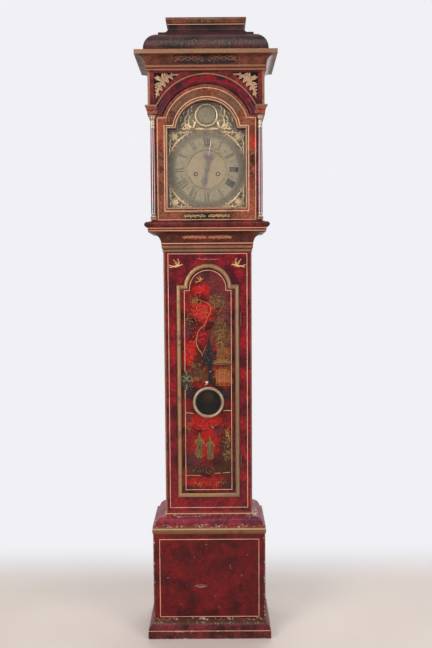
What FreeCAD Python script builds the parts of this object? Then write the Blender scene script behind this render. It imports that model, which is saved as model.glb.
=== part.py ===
import FreeCAD
import Part
import Sketcher
import math
import os
from types import SimpleNamespace

# Longcase clock, millimetres. +X is the viewer's right, +Y goes back, the floor is at 0.
# The case has a base, a trunk with an arched door, and a hood that slides off to the front.
# Inside are an eight-day movement with two trains, its weights and a seconds pendulum.

doc = FreeCAD.newDocument("longcase_clock")
sheet = doc.addObject("Spreadsheet::Sheet", "Dims")
nodes = []
rows = []


# A length that knows both its value and the sheet expression it comes from.
class Size:
    def __init__(self, value, text):
        self.value = value
        self.text = text

    def __add__(self, other):
        other = as_size(other)
        return Size(self.value + other.value, "(%s + %s)" % (self.text, other.text))

    def __sub__(self, other):
        other = as_size(other)
        return Size(self.value - other.value, "(%s - %s)" % (self.text, other.text))

    def __rsub__(self, other):
        return as_size(other) - self

    def __mul__(self, share):
        share = as_size(share)
        return Size(self.value * share.value, "(%s * %s)" % (self.text, share.text))

    def __truediv__(self, count):
        count = as_size(count)
        return Size(self.value / count.value, "(%s / %s)" % (self.text, count.text))

    def __neg__(self):
        return Size(-self.value, "(0 - %s)" % self.text)

    __radd__ = __add__
    __rmul__ = __mul__


def as_size(number):
    if isinstance(number, Size):
        return number
    return Size(float(number), "%.12g" % number)


# The other leg of a right triangle.
def leg(hypotenuse, side):
    value = math.sqrt(hypotenuse.value ** 2 - as_size(side).value ** 2)
    return Size(value, "sqrt(%s ^ 2 - %s ^ 2)" % (hypotenuse.text, as_size(side).text))


# Names the sizes of one piece in the sheet and hands them back as a group.
def sizes(piece, **values):
    for name, value in values.items():
        rows.append(piece + "_" + name)
        sheet.set("A%d" % len(rows), piece + "_" + name)
        sheet.set("B%d" % len(rows), str(value))
        sheet.setAlias("B%d" % len(rows), piece + "_" + name)
    sheet.recompute()
    group = SimpleNamespace()
    for name in values:
        alias = piece + "_" + name
        setattr(group, name, Size(float(sheet.get(alias)), "Dims." + alias))
    return group


def bind(item, path, length):
    item.setExpression(path, as_size(length).text)


def place(item, x=0, y=0, z=0):
    for axis, length in zip("xyz", (x, y, z)):
        bind(item, "Placement.Base." + axis, length)


def keep(item, label):
    item.Label = label
    nodes.append(item)
    return item


def body(name, x=0, y=0, z=0, facing_front=False):
    piece = doc.addObject("PartDesign::Body", name)
    piece.AllowCompound = True
    if facing_front:
        piece.Placement = FreeCAD.Placement(FreeCAD.Vector(), FreeCAD.Rotation(FreeCAD.Vector(1, 0, 0), 90))
    place(piece, x, y, z)
    return piece


def sketch_on(piece, role, offset=0):
    drawing = piece.newObject("Sketcher::SketchObject", piece.Name + "_sketch")
    origin_plane = next(item for item in piece.Origin.OriginFeatures if item.Role == role)
    drawing.AttachmentSupport = [(origin_plane, "")]
    drawing.MapMode = "FlatFace"
    bind(drawing, "AttachmentOffset.Base.z", offset)
    return drawing


def pin_point(drawing, edge, end, point):
    for kind, length in (("DistanceX", point[0]), ("DistanceY", point[1])):
        row = drawing.addConstraint(Sketcher.Constraint(kind, -1, 1, edge, end, as_size(length).value))
        bind(drawing, "Constraints[%d]" % row, length)


# Draws a chain of edges. A point (across, up) ends a straight edge, and (across, up, radius, side)
# ends an arc whose centre lies to the left (side 1) or the right (side -1) of the way there.
def draw_chain(drawing, points, closed=True):
    edges = []
    for index in range(0 if closed else 1, len(points)):
        before, after = points[index - 1], points[index]
        start = FreeCAD.Vector(as_size(before[0]).value, as_size(before[1]).value, 0)
        finish = FreeCAD.Vector(as_size(after[0]).value, as_size(after[1]).value, 0)
        if len(after) == 2:
            edge = drawing.addGeometry(Part.LineSegment(start, finish))
            edges.append((edge, 1, 2, before, after))
            continue
        radius, side = as_size(after[2]), after[3]
        chord = finish - start
        rise = math.sqrt(max(radius.value ** 2 - (chord.Length / 2) ** 2, 0))
        centre = (start + finish) * 0.5 + FreeCAD.Vector(-chord.y, chord.x, 0).normalize() * rise * side
        angles = [math.atan2(end.y - centre.y, end.x - centre.x) for end in (start, finish)]
        ends = (1, 2)
        if side < 0:
            angles.reverse()
            ends = (2, 1)
        if angles[1] < angles[0]:
            angles[1] += 2 * math.pi
        circle = Part.Circle(centre, FreeCAD.Vector(0, 0, 1), radius.value)
        edge = drawing.addGeometry(Part.ArcOfCircle(circle, angles[0], angles[1]))
        row = drawing.addConstraint(Sketcher.Constraint("Radius", edge, radius.value))
        bind(drawing, "Constraints[%d]" % row, radius)
        edges.append((edge, ends[0], ends[1], before, after))
    for index, edge in enumerate(edges):
        pin_point(drawing, edge[0], edge[1], edge[3])
        if closed or index + 1 < len(edges):
            following = edges[(index + 1) % len(edges)]
            drawing.addConstraint(Sketcher.Constraint("Coincident", edge[0], edge[2], following[0], following[1]))
    if not closed:
        pin_point(drawing, edges[-1][0], edges[-1][2], edges[-1][4])


# Draws a hole or a disc: (across, up, radius).
def draw_circle(drawing, hole):
    across, up, radius = [as_size(length) for length in hole]
    centre = FreeCAD.Vector(across.value, up.value, 0)
    edge = drawing.addGeometry(Part.Circle(centre, FreeCAD.Vector(0, 0, 1), radius.value))
    pin_point(drawing, edge, 3, hole)
    row = drawing.addConstraint(Sketcher.Constraint("Radius", edge, radius.value))
    bind(drawing, "Constraints[%d]" % row, radius)


def draw_loops(drawing, loops, holes=()):
    for loop in loops:
        draw_chain(drawing, loop)
    for hole in holes:
        draw_circle(drawing, hole)


def pad(piece, loops, length, holes=(), offset=0, role="XZ_Plane"):
    drawing = sketch_on(piece, role, offset)
    draw_loops(drawing, loops, holes)
    feature = piece.newObject("PartDesign::Pad", piece.Name + "_pad")
    feature.Profile = drawing
    bind(feature, "Length", length)
    piece.Tip = feature
    return feature


# Cuts from a plane at the offset back towards the body's own plane.
def pocket(piece, loops, depth, holes=(), offset=0, role="XZ_Plane"):
    drawing = sketch_on(piece, role, offset)
    draw_loops(drawing, loops, holes)
    feature = piece.newObject("PartDesign::Pocket", piece.Name + "_pocket")
    feature.Profile = drawing
    bind(feature, "Length", depth)
    piece.Tip = feature
    return feature


# A flat piece: loops drawn as seen from the front, from its back face forward.
def slab(label, loops, back, thickness, holes=()):
    piece = keep(body(label, 0, back, 0), label)
    pad(piece, loops, thickness, holes)
    return piece


def revolve(piece, profile):
    drawing = sketch_on(piece, "XZ_Plane")
    draw_chain(drawing, profile)
    feature = piece.newObject("PartDesign::Revolution", piece.Name + "_turn")
    feature.Profile = drawing
    feature.ReferenceAxis = (drawing, ["V_Axis"])
    feature.Angle = 360
    piece.Tip = feature
    return feature


# A moulding run round the left, front and right of a box, mitred at its two corners.
# The profile is drawn as (reach out from the box, height).
def moulding(name, half_width, front, profile, back):
    piece = body(name, -half_width, back, 0)
    run = sketch_on(piece, "XY_Plane")
    depth = back - front
    draw_chain(run, [(0, 0), (0, -depth), (half_width * 2, -depth), (half_width * 2, 0)], closed=False)
    section = sketch_on(piece, "XZ_Plane")
    draw_chain(section, [(-point[0], point[1]) + tuple(point[2:3]) + tuple(-side for side in point[3:])
                         for point in profile])
    sweep = piece.newObject("PartDesign::AdditivePipe", name + "_sweep")
    sweep.Profile = section
    sweep.Spine = (run, ["Edge1", "Edge2", "Edge3"])
    sweep.Transition = "Right corner"
    piece.Tip = sweep
    return piece


# Fills the inside of a moulding that has no box of its own.
def fill_core(piece, half_width, front, reach, bottom, top, back):
    depth = back - front
    pad(piece, [[(reach, -(depth - reach)), (half_width * 2 - reach, -(depth - reach)),
                 (half_width * 2 - reach, 0), (reach, 0)]], top - bottom, offset=bottom, role="XY_Plane")


def mirrored_pair(label, piece):
    mirror = doc.addObject("Part::Mirroring", label + "_mirror")
    mirror.Source = piece
    mirror.Normal = FreeCAD.Vector(1, 0, 0)
    pair = doc.addObject("Part::Compound", label)
    pair.Links = [piece, mirror]
    return keep(pair, label)


def fused(label, pieces):
    union = doc.addObject("Part::MultiFuse", label)
    union.Shapes = pieces
    return keep(union, label)


def rectangle(left, bottom, right, top):
    return [(left, bottom), (right, bottom), (right, top), (left, top)]


# The outline of arched doors and dials: straight sides, square shoulders and a round arch.
def break_arch(half_width, bottom, shoulder, arch_centre, arch_radius):
    foot = leg(arch_radius, shoulder - arch_centre)
    return [(-half_width, bottom), (half_width, bottom), (half_width, shoulder), (foot, shoulder),
            (0, arch_centre + arch_radius, arch_radius, 1), (-foot, shoulder, arch_radius, 1),
            (-half_width, shoulder)]


# Solids for the movement, with round parts along Y as clock arbors lie.
def rod(x, z, start, finish, radius):
    length = finish.value - start.value
    return Part.makeCylinder(radius.value, length, FreeCAD.Vector(x.value, start.value, z.value),
                             FreeCAD.Vector(0, 1, 0))


def block(x0, x1, y0, y1, z0, z1):
    low = FreeCAD.Vector(x0.value, y0.value, z0.value)
    return Part.makeBox(x1.value - x0.value, y1.value - y0.value, z1.value - z0.value, low)


# A toothed disc round (x, z) between two depths. One tooth points straight up when turn is 0.
def gear(x, z, start, finish, teeth, module, turn=0.0, lean=0.0):
    points = []
    tip = module.value * (teeth / 2 + gearing.tip_share.value)
    root = module.value * (teeth / 2 - gearing.root_share.value)
    for tooth in range(teeth):
        for radius, step in ((tip, 0.0), (root, 0.5 + lean)):
            angle = math.pi / 2 + turn - 2 * math.pi * (tooth + step) / teeth
            points.append(FreeCAD.Vector(x.value + radius * math.cos(angle), start.value,
                                         z.value + radius * math.sin(angle)))
    face = Part.Face(Part.makePolygon(points + points[:1]))
    return face.extrude(FreeCAD.Vector(0, finish.value - start.value, 0))


def feature(label, shape):
    piece = doc.addObject("Part::Feature", label)
    piece.Shape = shape
    return keep(piece, label)


# Driving sizes of the case, from the floor up.
trunk = sizes("trunk", width=346.0, depth=200.0, side_board=18.0, front_board=20.0, back_board=15.0)
overhang = sizes("overhang", reach=49.0)
cornice = sizes("cornice", bottom=2211.0, reach=46.0, fascia=16.0, bead=7.5, cove_foot=7.0, cove_top_reach=38.0,
                bead_height=8.0, bead_gap=6.0, list_height=7.0, list_gap=4.0, cove_height=28.0)
base = sizes("base", height=447.0, board=18.0)
back = (trunk.depth + overhang.reach + cornice.reach) / 2
trunk_half = trunk.width / 2
trunk_front = back - trunk.depth
case_front = trunk_front - overhang.reach
case_half = trunk_half + overhang.reach

# Base
skirting = sizes("skirting", reach=21.5, fascia=31.0, slope_reach=4.0, slope_top=56.0, list_reach=3.0,
                 list_top=66.0)
slab("base_front_panel", [rectangle(-case_half, 0, case_half, base.height)], case_front + base.board, base.board)
slab("base_sides", [rectangle(case_half - base.board, 0, case_half, base.height),
                    rectangle(-case_half, 0, base.board - case_half, base.height)],
     back, back - case_front - base.board)
keep(moulding("skirting", case_half, case_front, [
    (0, 0), (skirting.reach, 0), (skirting.reach, skirting.fascia),
    (skirting.slope_reach, skirting.slope_top, (skirting.reach + skirting.slope_top) / 2, 1),
    (skirting.list_reach, skirting.slope_top), (skirting.list_reach, skirting.list_top),
    (0, skirting.list_top)], back), "skirting")

# The moulding between base and trunk: a bead down the base's edge, then a big ovolo up to the trunk.
step = sizes("step", bead_bottom=417.0, bead_top=443.0, bead_reach=3.2, bead_radius=30.0, list_reach=1.2,
             list_top=451.0, ovolo_foot=41.0, ovolo_top=478.0, ovolo_head=5.0, ovolo_radius=32.0, top_list=3.0,
             top=486.0)
bead_middle = (step.bead_bottom + step.bead_top) / 2
keep(moulding("base_moulding", trunk_half, trunk_front, [
    (0, base.height), (overhang.reach, base.height), (overhang.reach, step.bead_bottom),
    (overhang.reach + step.bead_reach, bead_middle, step.bead_radius, 1),
    (overhang.reach + step.list_reach, step.bead_top, step.bead_radius, 1),
    (overhang.reach + step.list_reach, step.list_top),
    (step.ovolo_foot, step.list_top), (step.ovolo_head, step.ovolo_top, step.ovolo_radius, 1),
    (step.top_list, step.ovolo_top), (step.top_list, step.top), (0, step.top)], back), "base_moulding")

# Trunk. The cheeks are the trunk sides, which run up through the hood and carry the movement.
seat = sizes("seat", top=1775.0, thickness=22.0, front=-45.0, rear=46.0)
throat = sizes("throat", bottom=1530.0, bead_reach=2.5, bead_top=1542.0, bead_radius=8.0, neck_reach=6.5,
               neck_top=1558.0, neck_radius=9.5, list_reach=3.0, fillet_reach=7.0, fillet_top=1566.0,
               top_reach=53.5, top=1609.4, cove_radius=46.5, list_height=3.0)
slab("trunk_sides", [rectangle(trunk_half - trunk.side_board, 0, trunk_half, seat.top - seat.thickness),
                     rectangle(-trunk_half, 0, trunk.side_board - trunk_half, seat.top - seat.thickness)],
     back - trunk.back_board, trunk.depth - trunk.back_board - trunk.front_board)
backboard = sizes("backboard", top_gap=26.0, hood_inset=23.0)
hood_back_half = trunk_half - backboard.hood_inset
hood_back_top = cornice.bottom - backboard.top_gap
base_inside = case_half - base.board
slab("backboard", [[(-base_inside, 0), (base_inside, 0), (base_inside, base.height), (trunk_half, base.height),
                    (trunk_half, seat.top - seat.thickness), (hood_back_half, seat.top - seat.thickness),
                    (hood_back_half, hood_back_top), (-hood_back_half, hood_back_top),
                    (-hood_back_half, seat.top - seat.thickness),
                    (-trunk_half, seat.top - seat.thickness), (-trunk_half, base.height),
                    (-base_inside, base.height)]], back, trunk.back_board)

# The trunk door: a panel in the opening, with a half-round lip that laps the frame.
door = sizes("door", lip_half=124.5, lip_bottom=551.0, lip_shoulder=1403.0, arch_centre=1391.0, lip_arch=95.5,
             lip_width=19.0, lip_height=9.0, lap=7.5, gap=2.0, panel=18.0, face_gap=0.3)
inside = door.lap
opening = break_arch(door.lip_half - inside, door.lip_bottom + inside, door.lip_shoulder - inside,
                     door.arch_centre, door.lip_arch - inside)
trunk_frame = sizes("trunk_frame", lap_in_base=50.0)
hinge = sizes("hinge", barrel=4.0, clear=0.4, leaf=1.0, height=52.0, low=700.0, high=1267.0, reach=16.0,
              knuckle_gap=0.3, seat_gap=0.05)
hinge_x = door.lip_half + hinge.barrel + hinge.clear
hinge_y = trunk_front - hinge.barrel - hinge.clear - door.face_gap
frame_front = slab("trunk_front_frame", [
    rectangle(-trunk_half, base.height - trunk_frame.lap_in_base, trunk_half, throat.top), opening],
    trunk_front + trunk.front_board, trunk.front_board)
leaf_edge = door.lip_half - inside
pocket(frame_front, [rectangle(leaf_edge, height - hinge.height / 2, hinge_x, height + hinge.height / 2)
                     for height in (hinge.low, hinge.high)], hinge.leaf, offset=trunk.front_board)

throat_bead = (throat.bottom + throat.bead_top) / 2
throat_neck = (throat.bead_top + throat.neck_top) / 2
keep(moulding("throat_moulding", trunk_half, trunk_front, [
    (0, throat.bottom), (throat.bead_reach, throat_bead, throat.bead_radius, 1),
    (throat.list_reach / 2, throat.bead_top, throat.bead_radius, 1),
    (throat.neck_reach, throat_neck, throat.neck_radius, 1),
    (throat.list_reach, throat.neck_top, throat.neck_radius, 1),
    (throat.fillet_reach, throat.neck_top), (throat.fillet_reach, throat.fillet_top),
    (throat.top_reach, throat.top - throat.list_height, throat.cove_radius, -1),
    (throat.top_reach, throat.top), (0, throat.top)], back), "throat_moulding")

lenticle = sizes("lenticle", centre=936.0, hole=52.0, ring_inner=49.0, ring_outer=64.0, ring_height=9.0,
                 glass_thickness=3.0, glass_gap=0.3)
lock = sizes("lock", key_x=86.5, key_z=1023.0, left=113.0, width=45.0, height=62.0, depth=12.0, bolt_length=30.0,
             bolt_height=12.0, bolt_thickness=5.0, bolt_gap=0.3, bolt_drop=14.0, key_hole=2.6, key_slot=3.0,
             key_drop=11.0)
panel_inset = inside + door.gap
door_face = trunk_front - door.face_gap
key_slot = rectangle(-lock.key_x - lock.key_slot / 2, lock.key_z - lock.key_drop,
                     lock.key_x * -1 + lock.key_slot / 2, lock.key_z - lock.key_hole)
slab("trunk_door_panel", [break_arch(door.lip_half - panel_inset, door.lip_bottom + panel_inset,
                                     door.lip_shoulder - panel_inset, door.arch_centre,
                                     door.lip_arch - panel_inset), key_slot],
     door_face + door.panel, door.panel,
     holes=[(0, lenticle.centre, lenticle.hole), (-lock.key_x, lock.key_z, lock.key_hole * 0.9)])


# The lip: a half-round on every side of the door, mitred at the corners and round the arch.
def lip_outline(inset):
    return break_arch(door.lip_half - inset, door.lip_bottom + inset, door.lip_shoulder - inset,
                      door.arch_centre, door.lip_arch - inset)


def wire_at(points, depth):
    edges = []
    for index, after in enumerate(points):
        before = points[index - 1]
        start = FreeCAD.Vector(as_size(before[0]).value, depth, as_size(before[1]).value)
        finish = FreeCAD.Vector(as_size(after[0]).value, depth, as_size(after[1]).value)
        if len(after) == 2:
            edges.append(Part.makeLine(start, finish))
            continue
        centre = FreeCAD.Vector(0, depth, door.arch_centre.value)
        middle = ((start - centre).normalize() + (finish - centre).normalize()).normalize()
        edges.append(Part.Arc(start, centre + middle * after[2].value, finish).toShape())
    return Part.Wire(edges)


half_round_steps = 6
half_round = [math.pi * number / half_round_steps for number in range(half_round_steps + 1)]
rails = [wire_at(lip_outline(door.lip_width * ((1 - math.cos(angle)) / 2)),
                 door_face.value - door.lip_height.value * math.sin(angle)) for angle in half_round]
skins = [Part.makeRuledSurface(rails[number], rails[number + 1]) for number in range(half_round_steps)]
skins.append(Part.makeRuledSurface(rails[-1], rails[0]))
lip_shell = Part.makeShell([face for skin in skins for face in skin.Faces])
lip_shell.sewShape()
lip_solid = Part.makeSolid(Part.Shell(lip_shell.Faces))
if lip_solid.Volume < 0:
    lip_solid.reverse()
leaf_seats = [block(hinge_x - hinge.reach - hinge.seat_gap, hinge_x, door_face - hinge.leaf - hinge.seat_gap,
                    door_face, height - hinge.height / 2 - hinge.seat_gap,
                    height + hinge.height / 2 + hinge.seat_gap) for height in (hinge.low, hinge.high)]
feature("trunk_door_moulding", lip_solid.cut(leaf_seats))

ring = keep(body("lenticle_ring", 0, door_face, lenticle.centre, facing_front=True), "lenticle_ring")
ring_middle = (lenticle.ring_inner + lenticle.ring_outer) / 2
revolve(ring, [(lenticle.ring_outer, 0), (ring_middle, lenticle.ring_height, lenticle.ring_height * 1.05, 1),
               (lenticle.ring_inner, 0, lenticle.ring_height * 1.05, 1)])
slab("lenticle_glass", [], door_face + lenticle.glass_gap + lenticle.glass_thickness, lenticle.glass_thickness,
     holes=[(0, lenticle.centre, lenticle.hole - lenticle.glass_gap)])

# Lock: a pierced plate on the face, a case behind the panel and a bolt that shoots behind the frame.
plate = sizes("escutcheon", width=34.0, height=80.0, thickness=1.5)
plate_shares = [(0.0, -0.5), (0.26, -0.37), (0.5, -0.17), (0.33, 0.0), (0.5, 0.17), (0.26, 0.37), (0.0, 0.5)]
plate_bow_shares = [0.26, 0.3, 0.3, 0.3, 0.3, 0.26]
half_plate = [(share[0], share[1]) for share in plate_shares]
other_half = [(-share[0], share[1]) for share in reversed(plate_shares[1:-1])]
plate_bows = plate_bow_shares + plate_bow_shares
plate_points = []
for number, share in enumerate(half_plate + other_half):
    bow = plate_bows[number - 1]
    plate_points.append((plate.width * share[0] - lock.key_x, plate.height * share[1] + lock.key_z,
                         plate.height * bow, 1))
lock_plate = body("lock_plate", 0, door_face, 0)
pad(lock_plate, [plate_points, key_slot], plate.thickness, holes=[(-lock.key_x, lock.key_z, lock.key_hole * 0.9)])
lock_back = door_face + door.panel + lock.depth
bolt_z = lock.key_z - lock.bolt_drop
lock_case = body("lock_case", 0, lock_back, 0)
pad(lock_case, [rectangle(-lock.left, lock.key_z - lock.height / 2, lock.width - lock.left,
                          lock.key_z + lock.height / 2)], lock.depth)
bolt_front = (lock.depth + lock.bolt_thickness) / 2
pocket(lock_case, [rectangle(-lock.left - lock.bolt_gap, bolt_z - lock.bolt_height / 2 - lock.bolt_gap,
                             lock.bolt_length - lock.left + lock.bolt_gap,
                             bolt_z + lock.bolt_height / 2 + lock.bolt_gap)],
       lock.bolt_thickness + lock.bolt_gap * 2, offset=bolt_front + lock.bolt_gap)
door_lock = doc.addObject("Part::Compound", "door_lock")
door_lock.Links = [lock_plate, lock_case]
keep(door_lock, "door_lock")
slab("lock_bolt", [rectangle(-lock.left, bolt_z - lock.bolt_height / 2, lock.bolt_length - lock.left,
                             bolt_z + lock.bolt_height / 2)],
     lock_back - bolt_front + lock.bolt_thickness, lock.bolt_thickness)


# Butt hinges: each has a leaf on the frame with the middle knuckle and a door leaf with the outer two.
def knuckle(height, low, high):
    return Part.makeCylinder(hinge.barrel.value, high.value - low.value,
                             FreeCAD.Vector(hinge_x.value, hinge_y.value, low.value))


def hinge_solids(height):
    third = hinge.height / 6
    pin_hole = Part.makeCylinder(hinge.barrel.value * 0.4, hinge.height.value * 1.1,
                                 FreeCAD.Vector(hinge_x.value, hinge_y.value, (height - hinge.height * 0.55).value))
    pin = Part.makeCylinder(hinge.barrel.value * 0.38, hinge.height.value,
                            FreeCAD.Vector(hinge_x.value, hinge_y.value, (height - hinge.height / 2).value))
    fixed = block(leaf_edge, hinge_x, trunk_front, trunk_front + hinge.leaf, height - hinge.height / 2,
                  height + hinge.height / 2)
    web = block(hinge_x - hinge.barrel * 0.6, hinge_x, hinge_y, trunk_front + hinge.leaf, height - third,
                height + third)
    fixed = fixed.fuse([web, knuckle(height, height - third, height + third)]).cut(pin_hole)
    swing = block(hinge_x - hinge.reach, hinge_x, door_face - hinge.leaf, door_face, height - hinge.height / 2,
                  height + hinge.height / 2)
    gap_block = block(hinge_x - hinge.barrel * 1.2, hinge_x + hinge.barrel, hinge_y - hinge.barrel,
                      trunk_front, height - third - hinge.knuckle_gap, height + third + hinge.knuckle_gap)
    ends = [knuckle(height, height - hinge.height / 2, height - third - hinge.knuckle_gap),
            knuckle(height, height + third + hinge.knuckle_gap, height + hinge.height / 2)]
    swing = swing.fuse(ends).cut(gap_block).fuse(pin)
    return fixed.removeSplitter(), swing.removeSplitter()


hinge_pairs = [hinge_solids(height) for height in (hinge.low, hinge.high)]
feature("trunk_hinge_case_leaves", Part.makeCompound([pair[0] for pair in hinge_pairs]))
feature("trunk_hinge_door_leaves", Part.makeCompound([pair[1] for pair in hinge_pairs]))

# Hood. Its base rests on the throat moulding and rides on the cheeks, and it slides off to the front.
hood = sizes("hood", rest_gap=0.3, cheek_gap=2.3, list_reach=53.5, list_out=1.5, list_height=12.3, nose_rise=14.3,
             nose_reach=67.5, nose_middle=24.8, nose_top=35.3, nose_radius=13.0, height=38.3, wall=12.0,
             wall_half=210.0, wall_front=-79.5, window_front=-30.0, window_back=95.0, window_bottom=1745.0,
             window_top=1985.0, glass=2.0, glass_gap=0.3, board=20.0)
hood_bottom = throat.top + hood.rest_gap
hood_floor = hood_bottom + hood.height
pivot = sizes("pivot", x=211.0, y=-85.0, pin=1.5, hole=1.6, reach=10.0, door_reach=6.0, gap=0.15)
nose_foot = hood.list_reach + hood.list_out
hood_base = keep(moulding("hood_base_frame", trunk_half, trunk_front, [
    (hood.cheek_gap, hood_bottom), (nose_foot, hood_bottom), (nose_foot, hood_bottom + hood.list_height),
    (hood.list_reach + hood.list_out * 3, hood_bottom + hood.nose_rise),
    (hood.nose_reach, hood_bottom + hood.nose_middle, hood.nose_radius, 1),
    (hood.list_reach + hood.list_out * 3, hood_bottom + hood.nose_top, hood.nose_radius, 1),
    (overhang.reach, hood_bottom + hood.nose_top), (overhang.reach, hood_floor),
    (hood.cheek_gap, hood_floor)], back), "hood_base_frame")
pocket(hood_base, [], pivot.reach, holes=[(pivot.x + trunk_half, pivot.y - back, pivot.hole)],
       offset=hood_floor, role="XY_Plane")

dial = sizes("dial", width=305.0, centre=1847.5, arch_centre=1987.5, arch=119.0, thickness=2.0, front=-62.0)
glass = sizes("sight", half=148.5, bottom=1700.0, shoulder=1998.0, arch=115.5)
hood_door = sizes("hood_door", half=214.0, gap=1.0, shoulder=2047.0, arch=175.0, front_layer=14.0, rear_layer=6.0,
                  rebate=5.0, glass_gap=0.4, glass_thickness=3.0, arch_gap=3.2)
column = sizes("column", x=204.3, proud=-1.2, shaft=10.5, neck=8.8, plinth_bottom=1653.5, plinth_top=1660.0,
               base_top=1677.0, cap_bottom=2006.5, cap_top=2047.0, half=11.5, abacus=7.0, swell=10.9, gap=0.3)
door_bottom = hood_floor + hood_door.gap
frieze_bottom = hood_door.shoulder + hood_door.gap
door_back = case_front + hood_door.front_layer + hood_door.rear_layer
notch = column.x - column.half - column.gap
door_foot = leg(hood_door.arch, hood_door.shoulder - dial.arch_centre)
sight = break_arch(glass.half, glass.bottom, glass.shoulder, dial.arch_centre, glass.arch)
wide_sight = break_arch(glass.half + hood_door.rebate, glass.bottom - hood_door.rebate,
                        glass.shoulder + hood_door.rebate, dial.arch_centre, glass.arch + hood_door.rebate)
door_top = [(door_foot, hood_door.shoulder),
            (0, dial.arch_centre + hood_door.arch, hood_door.arch, 1),
            (-door_foot, hood_door.shoulder, hood_door.arch, 1)]
notched = ([(-hood_door.half, door_bottom), (hood_door.half, door_bottom), (hood_door.half, column.plinth_bottom),
            (notch, column.plinth_bottom), (notch, hood_door.shoulder)] + door_top
           + [(-notch, hood_door.shoulder), (-notch, column.plinth_bottom),
              (-hood_door.half, column.plinth_bottom)])
plain = ([(-hood_door.half, door_bottom), (hood_door.half, door_bottom), (hood_door.half, hood_door.shoulder)]
         + door_top + [(-hood_door.half, hood_door.shoulder)])
hood_door_frame = slab("hood_door_frame", [plain, wide_sight], door_back, hood_door.rear_layer)
pad(hood_door_frame, [notched, sight], hood_door.front_layer, offset=hood_door.rear_layer)
pocket(hood_door_frame, [], pivot.door_reach, holes=[(pivot.x, pivot.y - door_back, pivot.hole)],
       offset=door_bottom + pivot.door_reach, role="XY_Plane")
pocket(hood_door_frame, [], pivot.door_reach, holes=[(pivot.x, pivot.y - door_back, pivot.hole)],
       offset=hood_door.shoulder, role="XY_Plane")
glass_inset = hood_door.rebate - hood_door.glass_gap
slab("hood_door_glass", [break_arch(glass.half + glass_inset, glass.bottom - glass_inset,
                                    glass.shoulder + glass_inset, dial.arch_centre, glass.arch + glass_inset)],
     case_front + hood_door.front_layer + hood_door.glass_gap / 2 + hood_door.glass_thickness,
     hood_door.glass_thickness)

# Columns stand in notches of the door's front corners, with turned bases and caps between square blocks.
column_y = case_front - column.proud
base_span = column.base_top - column.plinth_top
cap_span = column.cap_top - column.cap_bottom
abacus_bottom = column.cap_top - column.abacus
turned = body("column", column.x, column_y, 0)
revolve(turned, [
    (0, column.plinth_top), (column.half * 0.84, column.plinth_top),
    (column.half * 0.84, column.plinth_top + base_span * 0.42, base_span * 0.25, 1),
    (column.half * 0.78, column.plinth_top + base_span * 0.62),
    (column.half * 0.88, column.base_top - base_span * 0.06),
    (column.shaft * 0.96, column.base_top), (column.swell * 0.96, (column.base_top + column.cap_bottom) / 2),
    (column.neck, column.cap_bottom - cap_span * 0.25), (column.neck * 1.12, column.cap_bottom - cap_span * 0.22),
    (column.neck * 1.12, column.cap_bottom - cap_span * 0.15), (column.neck, column.cap_bottom - cap_span * 0.1),
    (column.neck, column.cap_bottom + cap_span * 0.3),
    (column.half * 0.97, abacus_bottom - cap_span * 0.12, cap_span * 0.6, -1),
    (column.half * 0.97, abacus_bottom), (0, abacus_bottom)])
square = rectangle(-column.half, -column.half, column.half, column.half)
pad(turned, [square], column.plinth_top - column.plinth_bottom, offset=column.plinth_bottom, role="XY_Plane")
pad(turned, [square], column.abacus, offset=abacus_bottom, role="XY_Plane")
mirrored_pair("door_columns", turned)

# Pivot pins carry the hood door at its right edge, each with a collar that takes up the gap.
pivot_sets = []
for low, high, collar_low in ((hood_floor - pivot.reach + pivot.gap, door_bottom + pivot.door_reach - pivot.gap,
                               hood_floor + pivot.gap),
                              (hood_door.shoulder - pivot.door_reach + pivot.gap,
                               frieze_bottom + pivot.reach - pivot.gap, hood_door.shoulder + pivot.gap)):
    at = FreeCAD.Vector(pivot.x.value, pivot.y.value, low.value)
    collar_at = FreeCAD.Vector(pivot.x.value, pivot.y.value, collar_low.value)
    shaft = Part.makeCylinder(pivot.pin.value, (high - low).value, at)
    pivot_sets.append(shaft.fuse(Part.makeCylinder(pivot.pin.value * 1.9, (hood_door.gap - pivot.gap * 2).value,
                                                   collar_at)))
feature("hood_door_pivots", Part.makeCompound(pivot_sets))

bead_1 = cornice.bottom + cornice.bead_height
list_low = bead_1 + cornice.bead_gap
list_high = list_low + cornice.list_height
cove_low = list_high + cornice.list_gap
cove_high = cove_low + cornice.cove_height
cornice_top = cove_high + cornice.fascia

# Hood walls: a glazed side, thicker at the frieze, seen from the side and then mirrored.
wall = body("hood_wall", hood.wall_half - hood.wall, 0, 0)
window = rectangle(hood.window_front, hood.window_bottom, hood.window_back, hood.window_top)
pad(wall, [rectangle(hood.wall_front, hood_floor, back, cornice_top), window], hood.wall, role="YZ_Plane")
pad(wall, [rectangle(case_front + hood.board, frieze_bottom, back, cornice_top)], case_half - hood.wall_half,
    offset=hood.wall, role="YZ_Plane")
mirrored_pair("hood_sides", wall)
pane = body("hood_pane", hood.wall_half - (hood.wall + hood.glass) / 2, 0, 0)
pad(pane, [rectangle(hood.window_front + hood.glass_gap, hood.window_bottom + hood.glass_gap,
                     hood.window_back - hood.glass_gap, hood.window_top - hood.glass_gap)], hood.glass,
    role="YZ_Plane")
mirrored_pair("hood_side_glasses", pane)

board_arch = hood_door.arch + hood_door.arch_gap
board_foot = leg(board_arch, frieze_bottom - dial.arch_centre)
front_board = slab("hood_front_board", [[
    (case_half, frieze_bottom), (case_half, cornice_top), (-case_half, cornice_top),
    (-case_half, frieze_bottom), (-board_foot, frieze_bottom),
    (0, dial.arch_centre + board_arch, board_arch, -1), (board_foot, frieze_bottom, board_arch, -1)]],
    case_front + hood.board, hood.board)
pocket(front_board, [], pivot.reach, holes=[(pivot.x, pivot.y - case_front - hood.board, pivot.hole)],
       offset=frieze_bottom + pivot.reach, role="XY_Plane")

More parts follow.
